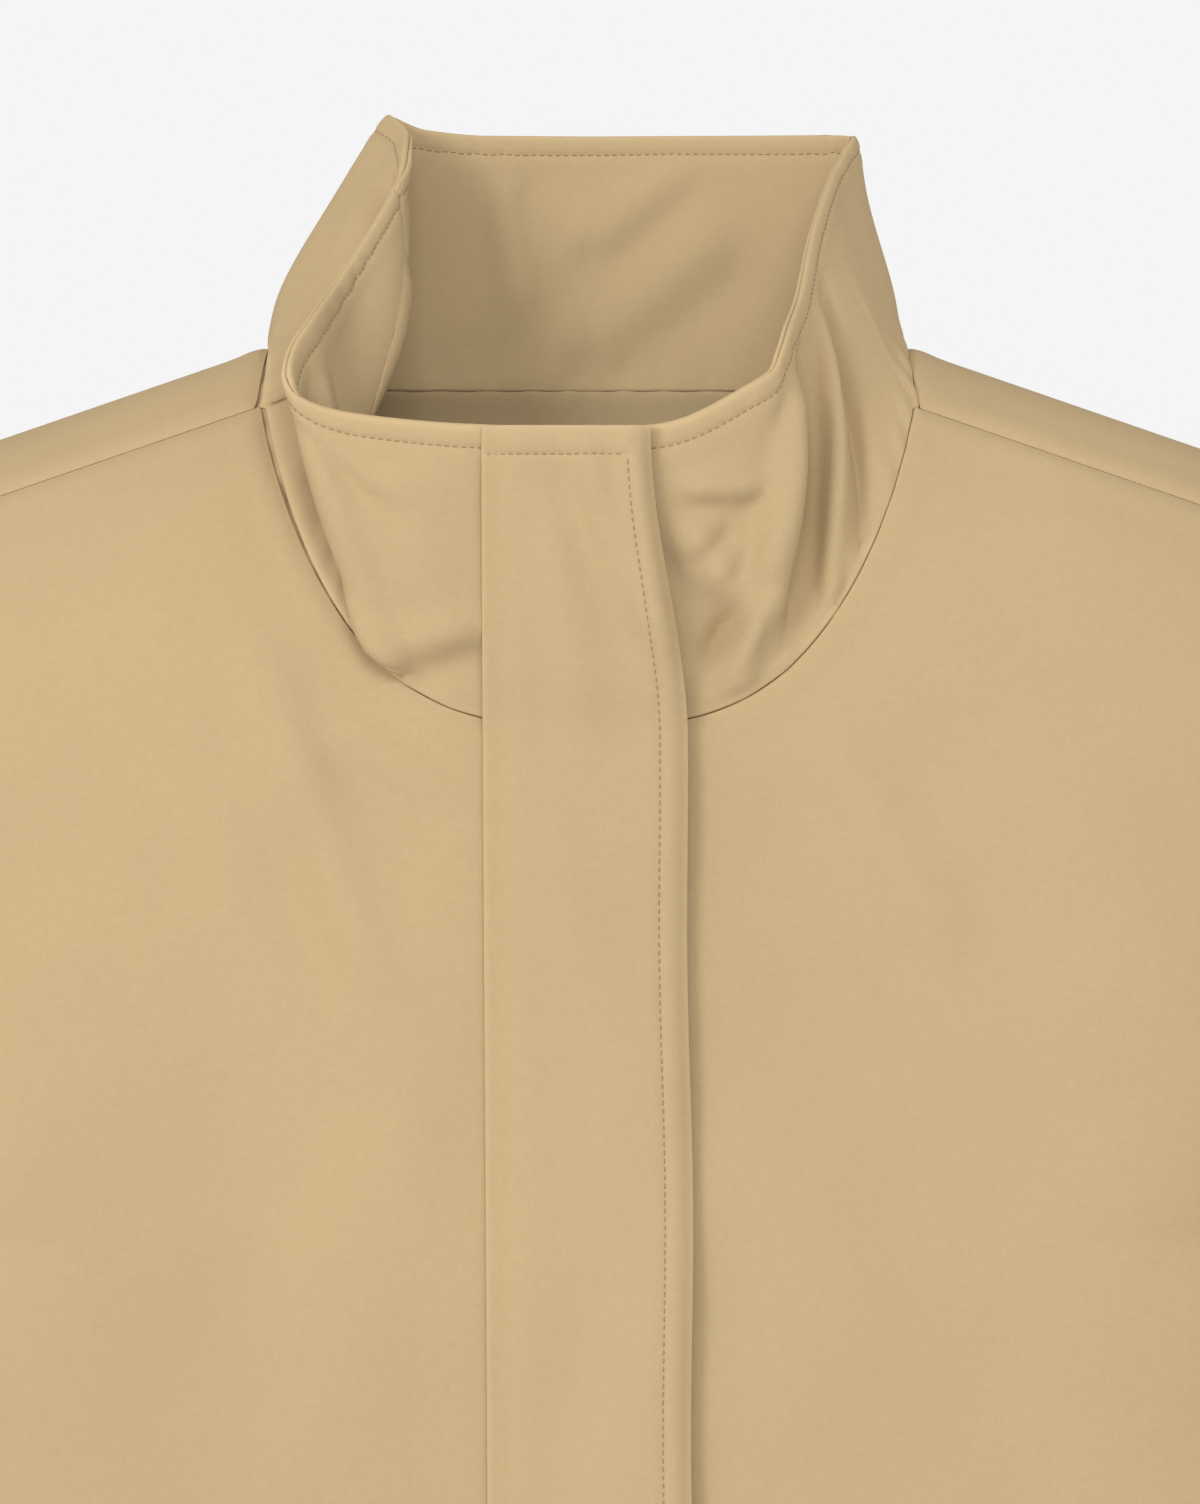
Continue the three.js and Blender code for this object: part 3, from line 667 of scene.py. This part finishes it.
LEFT_RIM = [
    (0.02, 0.07, 0.00, 0.485, 0), (0.055, 0.21, 0.00, RIM_FRONT_HEIGHT, 0),
    (0.15, 0.51, 0.06, 0.565, 2), (0.167, 0.56, 0.09, 0.585, 4), (0.185, 0.58, 0.12, 0.61, 3),
    (0.24, 0.61, 0.20, 0.66, -3), (0.32, 0.64, 0.32, 0.71, 1), (0.46, 0.68, 0.54, 0.82, 0),
    (0.56, 0.75, 0.76, 0.93, -3), (0.63, 0.82, 0.94, 1.0, 0), (0.68, 0.74, 1.0, 1.0, 3),
    (0.84, 0.40, 1.0, RIM_BACK_HEIGHT, 2), (1.0, 0.0, 1.0, RIM_BACK_HEIGHT, 2),
]
COLLAR_LAYER = (0.0, 1.7)
COLLAR_INNER = (1.8, 1.7)
COLLAR_STITCH = 6.6
COLLAR_HEIGHT = 88.0
# The step between the collar's columns, as a share of half the neck seam.
COLLAR_STEP = 0.0055
FOOT_GAP = 0.35
INNER_FOOT_OVERLAP = 3.0
# Folds on the collar's own cloth: two ends, as millimetres along the neck seam from the centre front,
# with the wearer's right below 0, and up from the seam, then width and height.
COLLAR_FOLDS = [
    ((-64, 10), (-73, 74), 4.5, -3.4), ((-74, 9), (-86, 30), 3.4, -7.0), ((-58, 3), (-70, 20), 4.2, -7.5),
    ((-56, 8), (-28, 28), 5, 4.0), ((-50, 84), (-38, 64), 3.5, 2.2), ((-34, 84), (-37, 28), 6, 2.0),
    ((70, 86), (42, 10), 6, 3.4), ((92, 86), (62, 12), 8.5, -6.2), ((112, 66), (84, 5), 6, 3.4),
    ((134, 76), (104, 8), 8, -4.2), ((27, 68), (50, 58), 3.5, 3.4), ((26, 54), (46, 24), 5.5, 3.6),
    ((30, 16), (50, 30), 5, -4.0), ((28, 44), (40, 50), 4, -2.4),
    ((290, 80), (326, 52), 7, -1.8), ((280, 54), (330, 14), 10, -3.4), ((-284, 70), (-304, 30), 7, -2.0),
    ((-185, 72), (-125, 12), 10, -4.0),
]


def neck_seam_half():
    """The neck seam from the centre front, over the shoulder, to the centre back, for x above 0."""
    inset = SHELL[0]
    front_x = np.concatenate([np.linspace(OPENING_HALF, 90, 60), np.linspace(90.5, 104.9, 60)])
    front_x = front_x[drop_to_height(front_x, front_neck_z(front_x)) >= SEAM_FORWARD]
    front = body_surface(-1, front_x, drop_to_height(front_x, front_neck_z(front_x)), inset)
    turn_x = np.linspace(NECK_HALF, RIDGE_START, 60)
    over = body_surface(1, turn_x, back_top(turn_x), inset)
    back_x = np.linspace(RIDGE_START - 0.5, 0.01, 60)
    back = body_surface(1, back_x, back_top(back_x), inset)
    return np.vstack([front, over, back])


def through_stations(stations, values, wanted):
    """A curve through the values that never swings past them."""
    stations, values = np.array(stations, float), np.array(values, float)
    rise = np.diff(values, axis=0) / np.diff(stations)[:, None]
    before, after = rise[:-1], rise[1:]
    level = 2 * before * after / np.where(before * after > 0, before + after, 1.0)
    slopes = np.vstack([rise[:1], np.where(before * after > 0, level, 0.0), rise[-1:]])
    k = np.clip(np.searchsorted(stations, wanted) - 1, 0, len(stations) - 2)
    width = (stations[k + 1] - stations[k])[:, None]
    t = np.clip((wanted - stations[k])[:, None] / width, 0, 1)
    h00, h10 = 2 * t ** 3 - 3 * t ** 2 + 1, t ** 3 - 2 * t ** 2 + t
    h01, h11 = -2 * t ** 3 + 3 * t ** 2, t ** 3 - t ** 2
    return h00 * values[k] + h10 * width * slopes[k] + h01 * values[k + 1] + h11 * width * slopes[k + 1]


def collar_half(rim, mirror, shares):
    box_low, box_high = box_mm("collar_outer")
    seam = neck_seam_half() * [mirror, 1, 1]
    along = lengths_along(seam)
    low = points_at(shares * along[-1], along, seam)
    table = through_stations([entry[0] for entry in rim], [entry[1:] for entry in rim], shares)
    high = np.stack([mirror * table[:, 0] * box_high[0],
                     box_low[1] + table[:, 1] * (box_high[1] - box_low[1]),
                     box_low[2] + table[:, 2] * (box_high[2] - box_low[2])], axis=1)
    return low, high, table[:, 3], mirror * shares * along[-1]


def collar_grid(foot):
    """The band's surface. Its lowest row is foot millimetres below the neck seam."""
    shares = edge_positions(1.0, 0.004, COLLAR_STEP)
    shares = np.append(shares[shares < 0.99], 1.0)
    right = collar_half(RIGHT_RIM, -1, shares)
    left = collar_half(LEFT_RIM, 1, shares)
    low, high, bulge, seam_mm = [np.concatenate([a, b[-2::-1]]) for a, b in zip(right, left)]
    tangent = np.gradient((low + high) / 2, axis=0)
    out = np.stack([tangent[:, 1], -tangent[:, 0], np.zeros(len(tangent))], axis=1)
    out /= np.linalg.norm(out, axis=1, keepdims=True)
    if np.median(np.sum(out * (low + high) / 2, axis=1)) < 0:
        out = -out
    rows_mm = edge_positions(COLLAR_HEIGHT, COLLAR_LAYER[1], 2.4, stitch=COLLAR_STITCH)
    up = ((rows_mm - foot) / (COLLAR_HEIGHT - foot))[:, None, None]
    shape = np.sin(np.pi * np.clip(up, 0, 1) ** 0.72)
    grid = low[None] + (high - low)[None] * up + out[None] * bulge[None, :, None] * shape
    rim_mm = lengths_along(high)
    return grid, rows_mm, seam_mm, rim_mm


def collar_folds(rows_mm, seam_mm, rim_mm):
    """How far the band's cloth stands out of its plain surface. Every wave meets itself at the back."""
    half = np.max(seam_mm)
    wave = np.pi / half
    along, up = np.broadcast_arrays(seam_mm[None, :], rows_mm[:, None])
    from_rim = (rows_mm[-1] - rows_mm)[:, None]
    rim = rim_mm[None, :]
    uneven = np.clip(np.sin(rim * 0.047 + 1.0), 0, 1)
    puckers = 0.25 * uneven * np.sin(rim * 0.62 + 1.2 * np.sin(rim * 0.11)) * bell(from_rim - 4.6, 2.2)
    seam_puckers = 0.35 * np.sin(48 * wave * along + np.sin(8 * wave * along)) * bell(up - 6, 6)
    drape = 0.8 * np.sin(6 * wave * along + 0.075 * up + 0.6)
    drape = drape * smooth_step(up / 25) * smooth_step(from_rim / 25)
    folds = sum(fold_height(along + turn, up, COLLAR_FOLDS) for turn in (-2 * half, 0.0, 2 * half))
    folds = folds * smooth_step((up - 1.0) / 5.0) * smooth_step((from_rim - 5.0) / 14.0)
    return puckers + seam_puckers + drape + folds


def add_collar():
    rows = []
    for name, node, foot, (inset, thickness), side in (
            ("collar_front_layer", "collar_outer", -FOOT_GAP, COLLAR_LAYER, 1),
            ("collar_back_layer", "collar_inner", INNER_FOOT_OVERLAP, COLLAR_INNER, -1)):
        grid, rows_mm, seam_mm, rim_mm = collar_grid(foot)
        normals = grid_normals(grid)
        outward = 1.0 if np.median(np.sum(normals * grid, axis=2)) > 0 else -1.0
        grid = grid + normals * outward * collar_folds(rows_mm, seam_mm, rim_mm)[..., None]
        row_edge, column_edge = edge_distances(grid, rows_mm, rim_mm)
        groove = np.broadcast_to(np.abs(rows_mm[-1] - rows_mm - COLLAR_STITCH)[:, None], grid.shape[:2])
        line = int(np.argmin(groove[:, 0]))
        middle = grid - grid_normals(grid) * outward * inset
        # The collar's rim gets the full pale edge: a painted highlight on its rolled rim, as well as wear.
        piece = cloth_sheet(name, middle, row_edge, column_edge, thickness, shell_cloth,
                            face=outward * side, puff=0.25, worn_and_highlight=1.0, groove=groove)
        finish_piece(piece, "root", [node])
        rows.append(grid_line(middle, thickness - 0.5, row=line, outward=outward * side))
    return rows


# ---- Storm flap ----
FLAP_LOW, FLAP_HIGH = box_mm("storm_flap_outer")
FLAP_TOP = box_mm("flap_collar_end_outer")[1][2]
FLAP_BOTTOM = FLAP_LOW[2]
FLAP_WIDTH = FLAP_HIGH[0] - FLAP_LOW[0]
FLAP_OUT = (2.25, 1.4)
FLAP_IN = (0.6, 1.1)
FLAP_STITCH = 8.8
# How the flap's edges lean from upright, as shares of its width.
FLAP_TOP_DRAWN_IN = 0.16
FLAP_BODY_DRAWN_IN = 0.04
FLAP_ROOT_SLANT = 0.03
# The flap leans forward over the collar, from just under the neck seam to its top.
LEAN_START_Z = -FRONT_NECK_DROP - 6.0
LEAN_LENGTH = 99.5
LEAN_OUT = 21.0


def flap_lean(z):
    share = np.clip((z - LEAN_START_Z) / LEAN_LENGTH, 0, 1)
    return LEAN_OUT * share * smooth_step(share * 3 + 0.3)


def flap_free_x(z):
    collar_part = smooth_step((z - FLAP_HIGH[2]) / (FLAP_TOP - FLAP_HIGH[2]))
    body_part = smooth_step((z - 0.4 * FLAP_BOTTOM) / (FLAP_TOP - 0.4 * FLAP_BOTTOM))
    return FLAP_HIGH[0] - FLAP_WIDTH * (FLAP_TOP_DRAWN_IN * collar_part + FLAP_BODY_DRAWN_IN * body_part)


def flap_root_x(z):
    straight = smooth_step((FLAP_TOP - z) / (0.5 * -FLAP_BOTTOM))
    return FLAP_LOW[0] - FLAP_WIDTH * FLAP_ROOT_SLANT * (1 - straight)


# Folds of the flap: two ends, as shares of its width from the root and of its length from the top.
FLAP_FOLDS = [
    ((0.50, 0.012), (0.80, 0.080), 6, 3.2), ((0.70, 0.010), (0.88, 0.085), 5, 2.6),
    ((0.28, 0.040), (0.46, 0.110), 8, 2.0), ((0.20, 0.150), (0.80, 0.260), 14, 1.6),
    ((0.85, 0.330), (0.35, 0.480), 14, 1.6),
]


def flap_grid(layer, start_share):
    """The flap's middle surface. It stands off the fronts, less at its root and at its free edge."""
    out, thickness = layer
    rows_mm = edge_positions(FLAP_TOP - FLAP_BOTTOM, thickness, GRID_STEP, stitch=FLAP_STITCH)
    width = FLAP_WIDTH * (1 - start_share)
    columns_mm = edge_positions(width, thickness, 2.6, stitch=FLAP_STITCH)
    z = np.broadcast_to((FLAP_TOP - rows_mm)[:, None], (len(rows_mm), len(columns_mm)))
    share = start_share + (1 - start_share) * columns_mm[None, :] / width
    x = flap_root_x(z) + share * (flap_free_x(z) - flap_root_x(z))
    stand = 0.4 + 4.0 * smooth_step(share / 0.2) - 2.2 * smooth_step((share - 0.9) / 0.1)
    settle = 1.35 * (1 - smooth_step(share / 0.12)) if layer is FLAP_OUT else 0.0
    y = FRONT_FACE_Y - flap_lean(z) - stand - out + settle
    loose = smooth_step((share - 0.15) / 0.3)
    placed = placed_folds(FLAP_FOLDS, FLAP_LOW[0], FLAP_TOP, FLAP_WIDTH, FLAP_BOTTOM - FLAP_TOP)
    folds = fold_height(x, z, placed) * loose
    sway = smooth_step((share - 0.6) / 0.4) * (0.7 * np.sin(z * 0.031) + 0.35 * np.sin(z * 0.083 + 1))
    y = y - np.maximum(folds + sway, -1.2)
    x = x + 0.5 * loose * np.sin(z * 0.043 + 0.5)
    grid = np.stack([x, y, z], axis=-1)
    return grid, rows_mm, columns_mm


# Two points on the flap's hinge, at these two heights, in metres.
FLAP_HINGE = ((-0.0315, -0.064, -0.095), (-0.0315, -0.064, -0.175))


def add_flap():
    rows = []
    for name, layer, start_share, material, part in (
            ("storm_flap_face", FLAP_OUT, 0.0, shell_cloth, "outer"),
            ("storm_flap_back", FLAP_IN, 0.08, facing_cloth, "facing")):
        nodes = [f"storm_flap_{part}", f"flap_collar_end_{part}"]
        grid, rows_mm, columns_mm = flap_grid(layer, start_share)
        outward = forward_sign(grid)
        row_edge, column_edge = edge_distances(grid, rows_mm, columns_mm)
        face = outward if layer is FLAP_OUT else -outward
        across = np.abs(columns_mm[-1] - columns_mm - FLAP_STITCH)[None, :] + 0 * row_edge
        down = np.abs(rows_mm - FLAP_STITCH)[:, None] + 0 * row_edge
        across[rows_mm < FLAP_STITCH - 1] = FLAP_WIDTH
        down[:, columns_mm > columns_mm[-1] - FLAP_STITCH + 1] = FLAP_WIDTH
        # The flap's edges are paler: partly wear, partly a painted highlight.
        piece = cloth_sheet(name, grid, row_edge, column_edge, layer[1], material, face=face, puff=0.35,
                            worn_and_highlight=0.6, groove=np.minimum(across, down) if layer is FLAP_OUT else None)
        finish_piece(piece, "storm_flap", nodes, blend=FLAP_HINGE)
        if layer is FLAP_OUT:
            free = int(np.argmin(np.abs(columns_mm[-1] - columns_mm - FLAP_STITCH)))
            top = int(np.argmin(np.abs(rows_mm - FLAP_STITCH)))
            points, normals = grid_line(grid, layer[1] - 0.6, column=free, outward=outward)
            rows.append((points[top:], normals[top:]))
            points, normals = grid_line(grid, layer[1] - 0.6, row=top, outward=outward)
            rows.append((points[2:free + 1], normals[2:free + 1]))
    add_stitches("flap_stitching", rows, "storm_flap", FLAP_HINGE)


# ---- Sleeves ----
CUFF_X = ARMHOLE_SPAN + 175.0
CUFF_Z = ARMHOLE_BOTTOM_Z - 350.0
CUFF_WIDTH = 122.0
CUFF_SLANT = 10.0
CUFF_HALF_DEPTH = 42.0
CUFF_STITCH = 40.0
ARMHOLE_STITCH = 6.6
SLEEVE_LENGTH = 580.0
HALF_ROUND = 270.0
RING_COLUMNS = 90
EDGE_POINTS = 400
# Two points on the sleeve's hinge, from the armhole outwards, in metres for the wearer's left.
SLEEVE_BEND = ((0.25, 0, -0.28), (0.331, 0, -0.32))


def sleeve_edges(direction):
    start_x = ARMHOLE_SPAN + SEAM_GAP
    outer = [(start_x, SHOULDER_TIP_Z), (start_x + 50, SHOULDER_TIP_Z - 25),
             (start_x + 102, SHOULDER_TIP_Z - 100), (CUFF_X - 35, ARMHOLE_BOTTOM_Z - 20),
             (CUFF_X, CUFF_Z + CUFF_SLANT)]
    inner = [(start_x, ARMHOLE_BOTTOM_Z), (start_x + 12, ARMHOLE_BOTTOM_Z - 50),
             (start_x + 30, ARMHOLE_BOTTOM_Z - 120), (CUFF_X - CUFF_WIDTH, CUFF_Z - CUFF_SLANT)]
    return [curve_through([(direction * x, 0, z) for x, z in line], EDGE_POINTS)
            for line in (outer, inner)]


def sleeve_grid(edges, shares, angles, inset):
    place = np.linspace(0, 1, EDGE_POINTS)
    top, low = [points_at(shares, place, edge) for edge in edges]
    centre = (top + low) / 2
    reach = top - centre
    radius = np.linalg.norm(reach, axis=1)
    arm_depth = HALF_DEPTH * round_factor(SIDE_REST / SIDE_ROUNDING)
    depth = arm_depth + (CUFF_HALF_DEPTH - arm_depth) * shares
    calm = smooth_step(shares / 0.06) * smooth_step((1 - shares) / 0.05)
    s, a = shares[:, None], angles[None, :]
    folds = (2.4 * bell(s - 0.13, 0.07) * np.sin(3 * a + 26 * s)
             + 2.6 * bell(s - 0.52, 0.13) * np.sin(2 * a + 44 * s + 1)
             + 0.9 * np.sin(2 * a + 14 * s) + 0.35 * np.sin(5 * a + 61 * s))
    swell = (folds - 0.6) * calm[:, None]
    across = radius[:, None] - inset + swell
    deep = depth[:, None] - inset + swell
    point = centre[:, None, :] + (reach / radius[:, None])[:, None, :] * (across * np.cos(a))[..., None]
    point[..., 1] = deep * np.sin(a)
    return point, centre


def add_sleeve(name, direction):
    edges = sleeve_edges(direction)
    """Each piece has its layer, cloth, node, side, part of the sleeve's length, and flat size.
    The side is -1 for the top half, 1 for the under half and 0 for a whole ring."""
    hinge = [(direction * x, y, z) for x, y, z in SLEEVE_BEND]
    body = f"sleeve_{name}"
    pieces = [
        (f"{body}_top", SHELL, shell_cloth, f"sleeve_top_{name}", -1, (0.0, 1.0), (0.22, 0.62)),
        (f"{body}_under", SHELL, shell_cloth, f"sleeve_under_{name}", 1, (0.0, 1.0), (0.20, 0.52)),
        (f"{body}_lining", LINING, lining_cloth, f"sleeve_lining_{name}", 0, (0.0, 0.936), (0.40, 0.56)),
        (f"cuff_{name}_facing", TURNED, facing_cloth, f"cuff_facing_{name}", 0, (0.92, 1.0), (0.34, 0.05)),
    ]
    rows = []
    for piece_name, (inset, thickness), material, node, half, (first, last), flat in pieces:
        length = SLEEVE_LENGTH * (last - first)
        rows_mm = edge_positions(length, thickness)
        shares = first + (last - first) * rows_mm / length
        ring = half == 0
        if ring:
            angles = np.linspace(0, 2 * math.pi, RING_COLUMNS, endpoint=False)
            column_edge_mm = np.full(RING_COLUMNS, SLEEVE_LENGTH)
        else:
            arc = edge_positions(HALF_ROUND, thickness)
            angles = (arc / HALF_ROUND - 0.5) * (math.pi - 0.006) + (0 if half < 0 else math.pi)
            column_edge_mm = end_distance(arc)
        grid, centre = sleeve_grid(edges, shares, angles, inset)
        normals = grid_normals(grid, ring)
        outward = 1.0 if np.median(np.sum(normals * (grid - centre[:, None]), axis=2)) > 0 else -1.0
        face = outward if material is shell_cloth else -outward
        row_edge = np.broadcast_to(end_distance(rows_mm)[:, None], grid.shape[:2])
        column_edge = np.broadcast_to(column_edge_mm[None, :], grid.shape[:2])
        piece = cloth_sheet(piece_name, grid, row_edge, column_edge, thickness, material, ring=ring,
                            face=face, puff=0.5 if material is shell_cloth else 0.15)
        finish_piece(piece, body, [node], blend=hinge)
        if half:
            line = np.searchsorted(rows_mm, rows_mm[-1] - CUFF_STITCH)
            for step in (line, line + 2):
                rows.append(grid_line(grid, thickness, row=step, outward=outward))
            line = np.searchsorted(rows_mm, ARMHOLE_STITCH)
            rows.append(grid_line(grid, thickness, row=line, outward=outward))
    add_stitches(f"{body}_stitching", rows, body, hinge)


# ---- Small flat pieces ----
def flat_sheet(name, node, thickness, material, ripple, body="root", tilt=0.0):
    """A strip or pad in the place of its CAD node, lying in an upright plane."""
    low, high = box_mm(node)
    centre = (low + high) / 2
    width, length = high[0] - low[0], high[2] - low[2]
    if tilt:
        c, t = math.cos(tilt), math.sin(abs(tilt))
        width, length = np.linalg.solve([[c, t], [t, c]], [width, length])
    columns = edge_positions(width, thickness, 2.5)
    rows_mm = edge_positions(length, thickness, 4.0)
    x = (columns - width / 2)[None, :] + np.zeros((len(rows_mm), 1))
    z = (length / 2 - rows_mm)[:, None] + np.zeros((1, len(columns)))
    y = ripple * np.sin(z * 0.11 + x * 0.05)
    c, t = math.cos(tilt), math.sin(tilt)
    grid = np.stack([centre[0] + x * c + z * t, centre[1] + y, centre[2] - x * t + z * c], axis=-1)
    outward = forward_sign(grid)
    row_edge, column_edge = edge_distances(grid, rows_mm, columns)
    piece = cloth_sheet(name, grid, row_edge, column_edge, thickness, material, face=outward, puff=0.1)
    finish_piece(piece, body, [node])
    return grid, columns, outward


def add_zip():
    for name in ("left", "right"):
        flat_sheet(f"zip_{name}_tape", f"zip_tape_{name}", 0.55, tape_cloth, ripple=0.0)
        add_teeth(name)
    for node in ("zip_slider", "zip_pull", "zip_top_stop_left", "zip_top_stop_right", "zip_bottom_box"):
        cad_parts[node].data.materials.clear()
        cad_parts[node].data.materials.append(zip_metal)
    flat_sheet("zip_guard_strip", "zip_guard", 1.0, facing_cloth, ripple=0.05)


def add_teeth(name):
    """Each tooth is a bevelled block, widest in the middle, that points at the other row."""
    low, high = box_mm(f"zip_teeth_{name}")
    pitch, tall, cut = 3.0, 1.9, 0.3
    inner, outer = (low[0], high[0]) if name == "left" else (high[0], low[0])
    y0, y1 = low[1] + 0.1, high[1] - 0.1
    shift = 0.0 if name == "left" else pitch / 2
    points, faces = [], []
    stations = [(outer, 0.7), (outer + (inner - outer) * 0.55, 1.0), (inner, 0.55)]
    for z in np.arange(low[2] + tall + shift, high[2] - tall, pitch):
        base = len(points)
        for x, size in stations:
            half_z, half_y = size * tall / 2, (y1 - y0) / 2 * (0.75 + 0.25 * size)
            mid_y = (y0 + y1) / 2
            outline = [(cut - half_y, -half_z), (-half_y, cut - half_z),
                       (-half_y, half_z - cut), (cut - half_y, half_z)]
            outline += [(-a, -b) for a, b in outline]
            points += [(x, mid_y + a, z + b) for a, b in outline]
        faces += [tuple(base + v for v in face) for face in tube_faces(len(stations), 8)]
    if name == "left":
        faces = [tuple(reversed(face)) for face in faces]
    piece = mesh_object(f"zip_{name}_teeth", np.array(points), faces, zip_metal)
    piece.data.shade_flat()
    finish_piece(piece, "root", [f"zip_teeth_{name}"])


def add_patches():
    for k in range(1, 6):
        for kind, body in (("loop", "root"), ("hook", "storm_flap")):
            flat_sheet(f"{kind}_pad_{k}", f"{kind}_patch_{k}", 1.6, grip_cloth, ripple=0.05, body=body)


WELT_THICKNESS = 1.35
WELT_TILT = math.radians(12)
WELT_STITCH = 2.6


def add_pockets():
    rows = []
    for name, direction in (("left", 1), ("right", -1)):
        grid, columns, outward = flat_sheet(
            f"welt_{name}", f"pocket_welt_{name}", WELT_THICKNESS, shell_cloth, ripple=0.0,
            tilt=-direction * WELT_TILT)
        for place in (WELT_STITCH, columns[-1] - WELT_STITCH):
            line = np.searchsorted(columns, place)
            rows.append(grid_line(grid, WELT_THICKNESS, column=line, outward=outward))
        flat_sheet(f"bag_{name}", f"pocket_bag_{name}", 2.0, facing_cloth, ripple=0.1)
    add_stitches("pocket_stitching", rows)


HEM_STITCHES = (45.0, 52.0)


def hem_rows(grid, outward):
    heights = grid[:, grid.shape[1] // 2, 2]
    found = []
    for distance in HEM_STITCHES:
        row = int(np.argmin(np.abs(heights - (HEM_Z + distance))))
        found.append(grid_line(grid, SHELL[1], row=row, outward=outward))
    return found


body_rows = []
for side_name, sign in (("left", 1), ("right", -1)):
    body_rows += hem_rows(*add_front(side_name, sign))
body_rows += hem_rows(*add_back())
body_rows += add_collar()
add_stitches("body_stitching", body_rows)
add_flap()
add_zip()
add_patches()
add_pockets()
add_sleeve("left", 1)
add_sleeve("right", -1)


# ---- Stage, light and camera ----
PALE_WALL = 0.913
DIM_CEILING = 0.42
PALE_FLOOR = (0.88, 0.88, 0.88, 1.0)
FLOOR_Z = -1.25
FLOOR_SIZE = 60.0
# The distances from the middle between which the floor turns as bright as the walls.
FLOOR_FADE = (1.5, 6.0)


def add_floor():
    bpy.ops.mesh.primitive_plane_add(size=FLOOR_SIZE, location=(0, 0, FLOOR_Z))
    floor = bpy.context.object
    floor.name = "floor"
    material, nodes, links, shader = new_material("pale_floor")
    shader.inputs["Base Color"].default_value = PALE_FLOOR
    shader.inputs["Roughness"].default_value = 0.9
    place = nodes.new("ShaderNodeTexCoord")
    reach = nodes.new("ShaderNodeVectorMath")
    reach.operation = "LENGTH"
    links.new(place.outputs["Object"], reach.inputs[0])
    wall = nodes.new("ShaderNodeEmission")
    wall.inputs["Color"].default_value = (PALE_WALL, PALE_WALL, PALE_WALL, 1)
    blend = nodes.new("ShaderNodeMixShader")
    links.new(ramp(nodes, links, reach.outputs["Value"], *FLOOR_FADE, 0.0, 1.0), blend.inputs["Fac"])
    links.new(shader.outputs["BSDF"], blend.inputs[1])
    links.new(wall.outputs["Emission"], blend.inputs[2])
    links.new(blend.outputs["Shader"], nodes["Material Output"].inputs["Surface"])
    floor.data.materials.append(material)


def add_world():
    """Pale all round, and dimmer overhead."""
    world = bpy.data.worlds.new("studio")
    world.use_nodes = True
    nodes, links = world.node_tree.nodes, world.node_tree.links
    place = nodes.new("ShaderNodeTexCoord")
    parts = nodes.new("ShaderNodeSeparateXYZ")
    links.new(place.outputs["Generated"], parts.inputs[0])
    shade = ramp(nodes, links, parts.outputs["Z"], 0.3, 0.9, PALE_WALL, DIM_CEILING)
    links.new(shade, nodes["Background"].inputs["Color"])
    nodes["Background"].inputs["Strength"].default_value = 1.0
    bpy.context.scene.world = world


LIGHT_TARGET = (0, 0, -0.1)


def add_area_light(name, place, size, power):
    light = bpy.data.lights.new(name, "AREA")
    light.size = size
    light.energy = power
    lamp = bpy.data.objects.new(name, light)
    lamp.location = place
    direction = np.array(LIGHT_TARGET) - np.array(place)
    lamp.rotation_euler = Vector(direction).to_track_quat("-Z", "Y").to_euler()
    bpy.context.scene.collection.objects.link(lamp)


# The camera looks level at the collar and chest. The view is this high where the fronts are.
VIEW_HEIGHT = 0.470
VIEW_DISTANCE = 4.0
VIEW_CENTRE = (0.004, -0.127)


def add_camera():
    camera = bpy.data.cameras.new("camera")
    camera.sensor_width = 36.0
    camera.lens = camera.sensor_width * VIEW_DISTANCE / VIEW_HEIGHT
    holder = bpy.data.objects.new("camera", camera)
    holder.location = (VIEW_CENTRE[0], FRONT_FACE_Y * MM - VIEW_DISTANCE, VIEW_CENTRE[1])
    holder.rotation_euler = (math.radians(90), 0, 0)
    bpy.context.scene.collection.objects.link(holder)
    bpy.context.scene.camera = holder


add_floor()
add_world()
add_area_light("key", (-1.7, -2.15, 0.6), size=0.9, power=29)
add_area_light("fill", (0.3, -2.6, 1.1), size=1.2, power=27)
add_camera()
bpy.context.scene.view_settings.view_transform = "Standard"
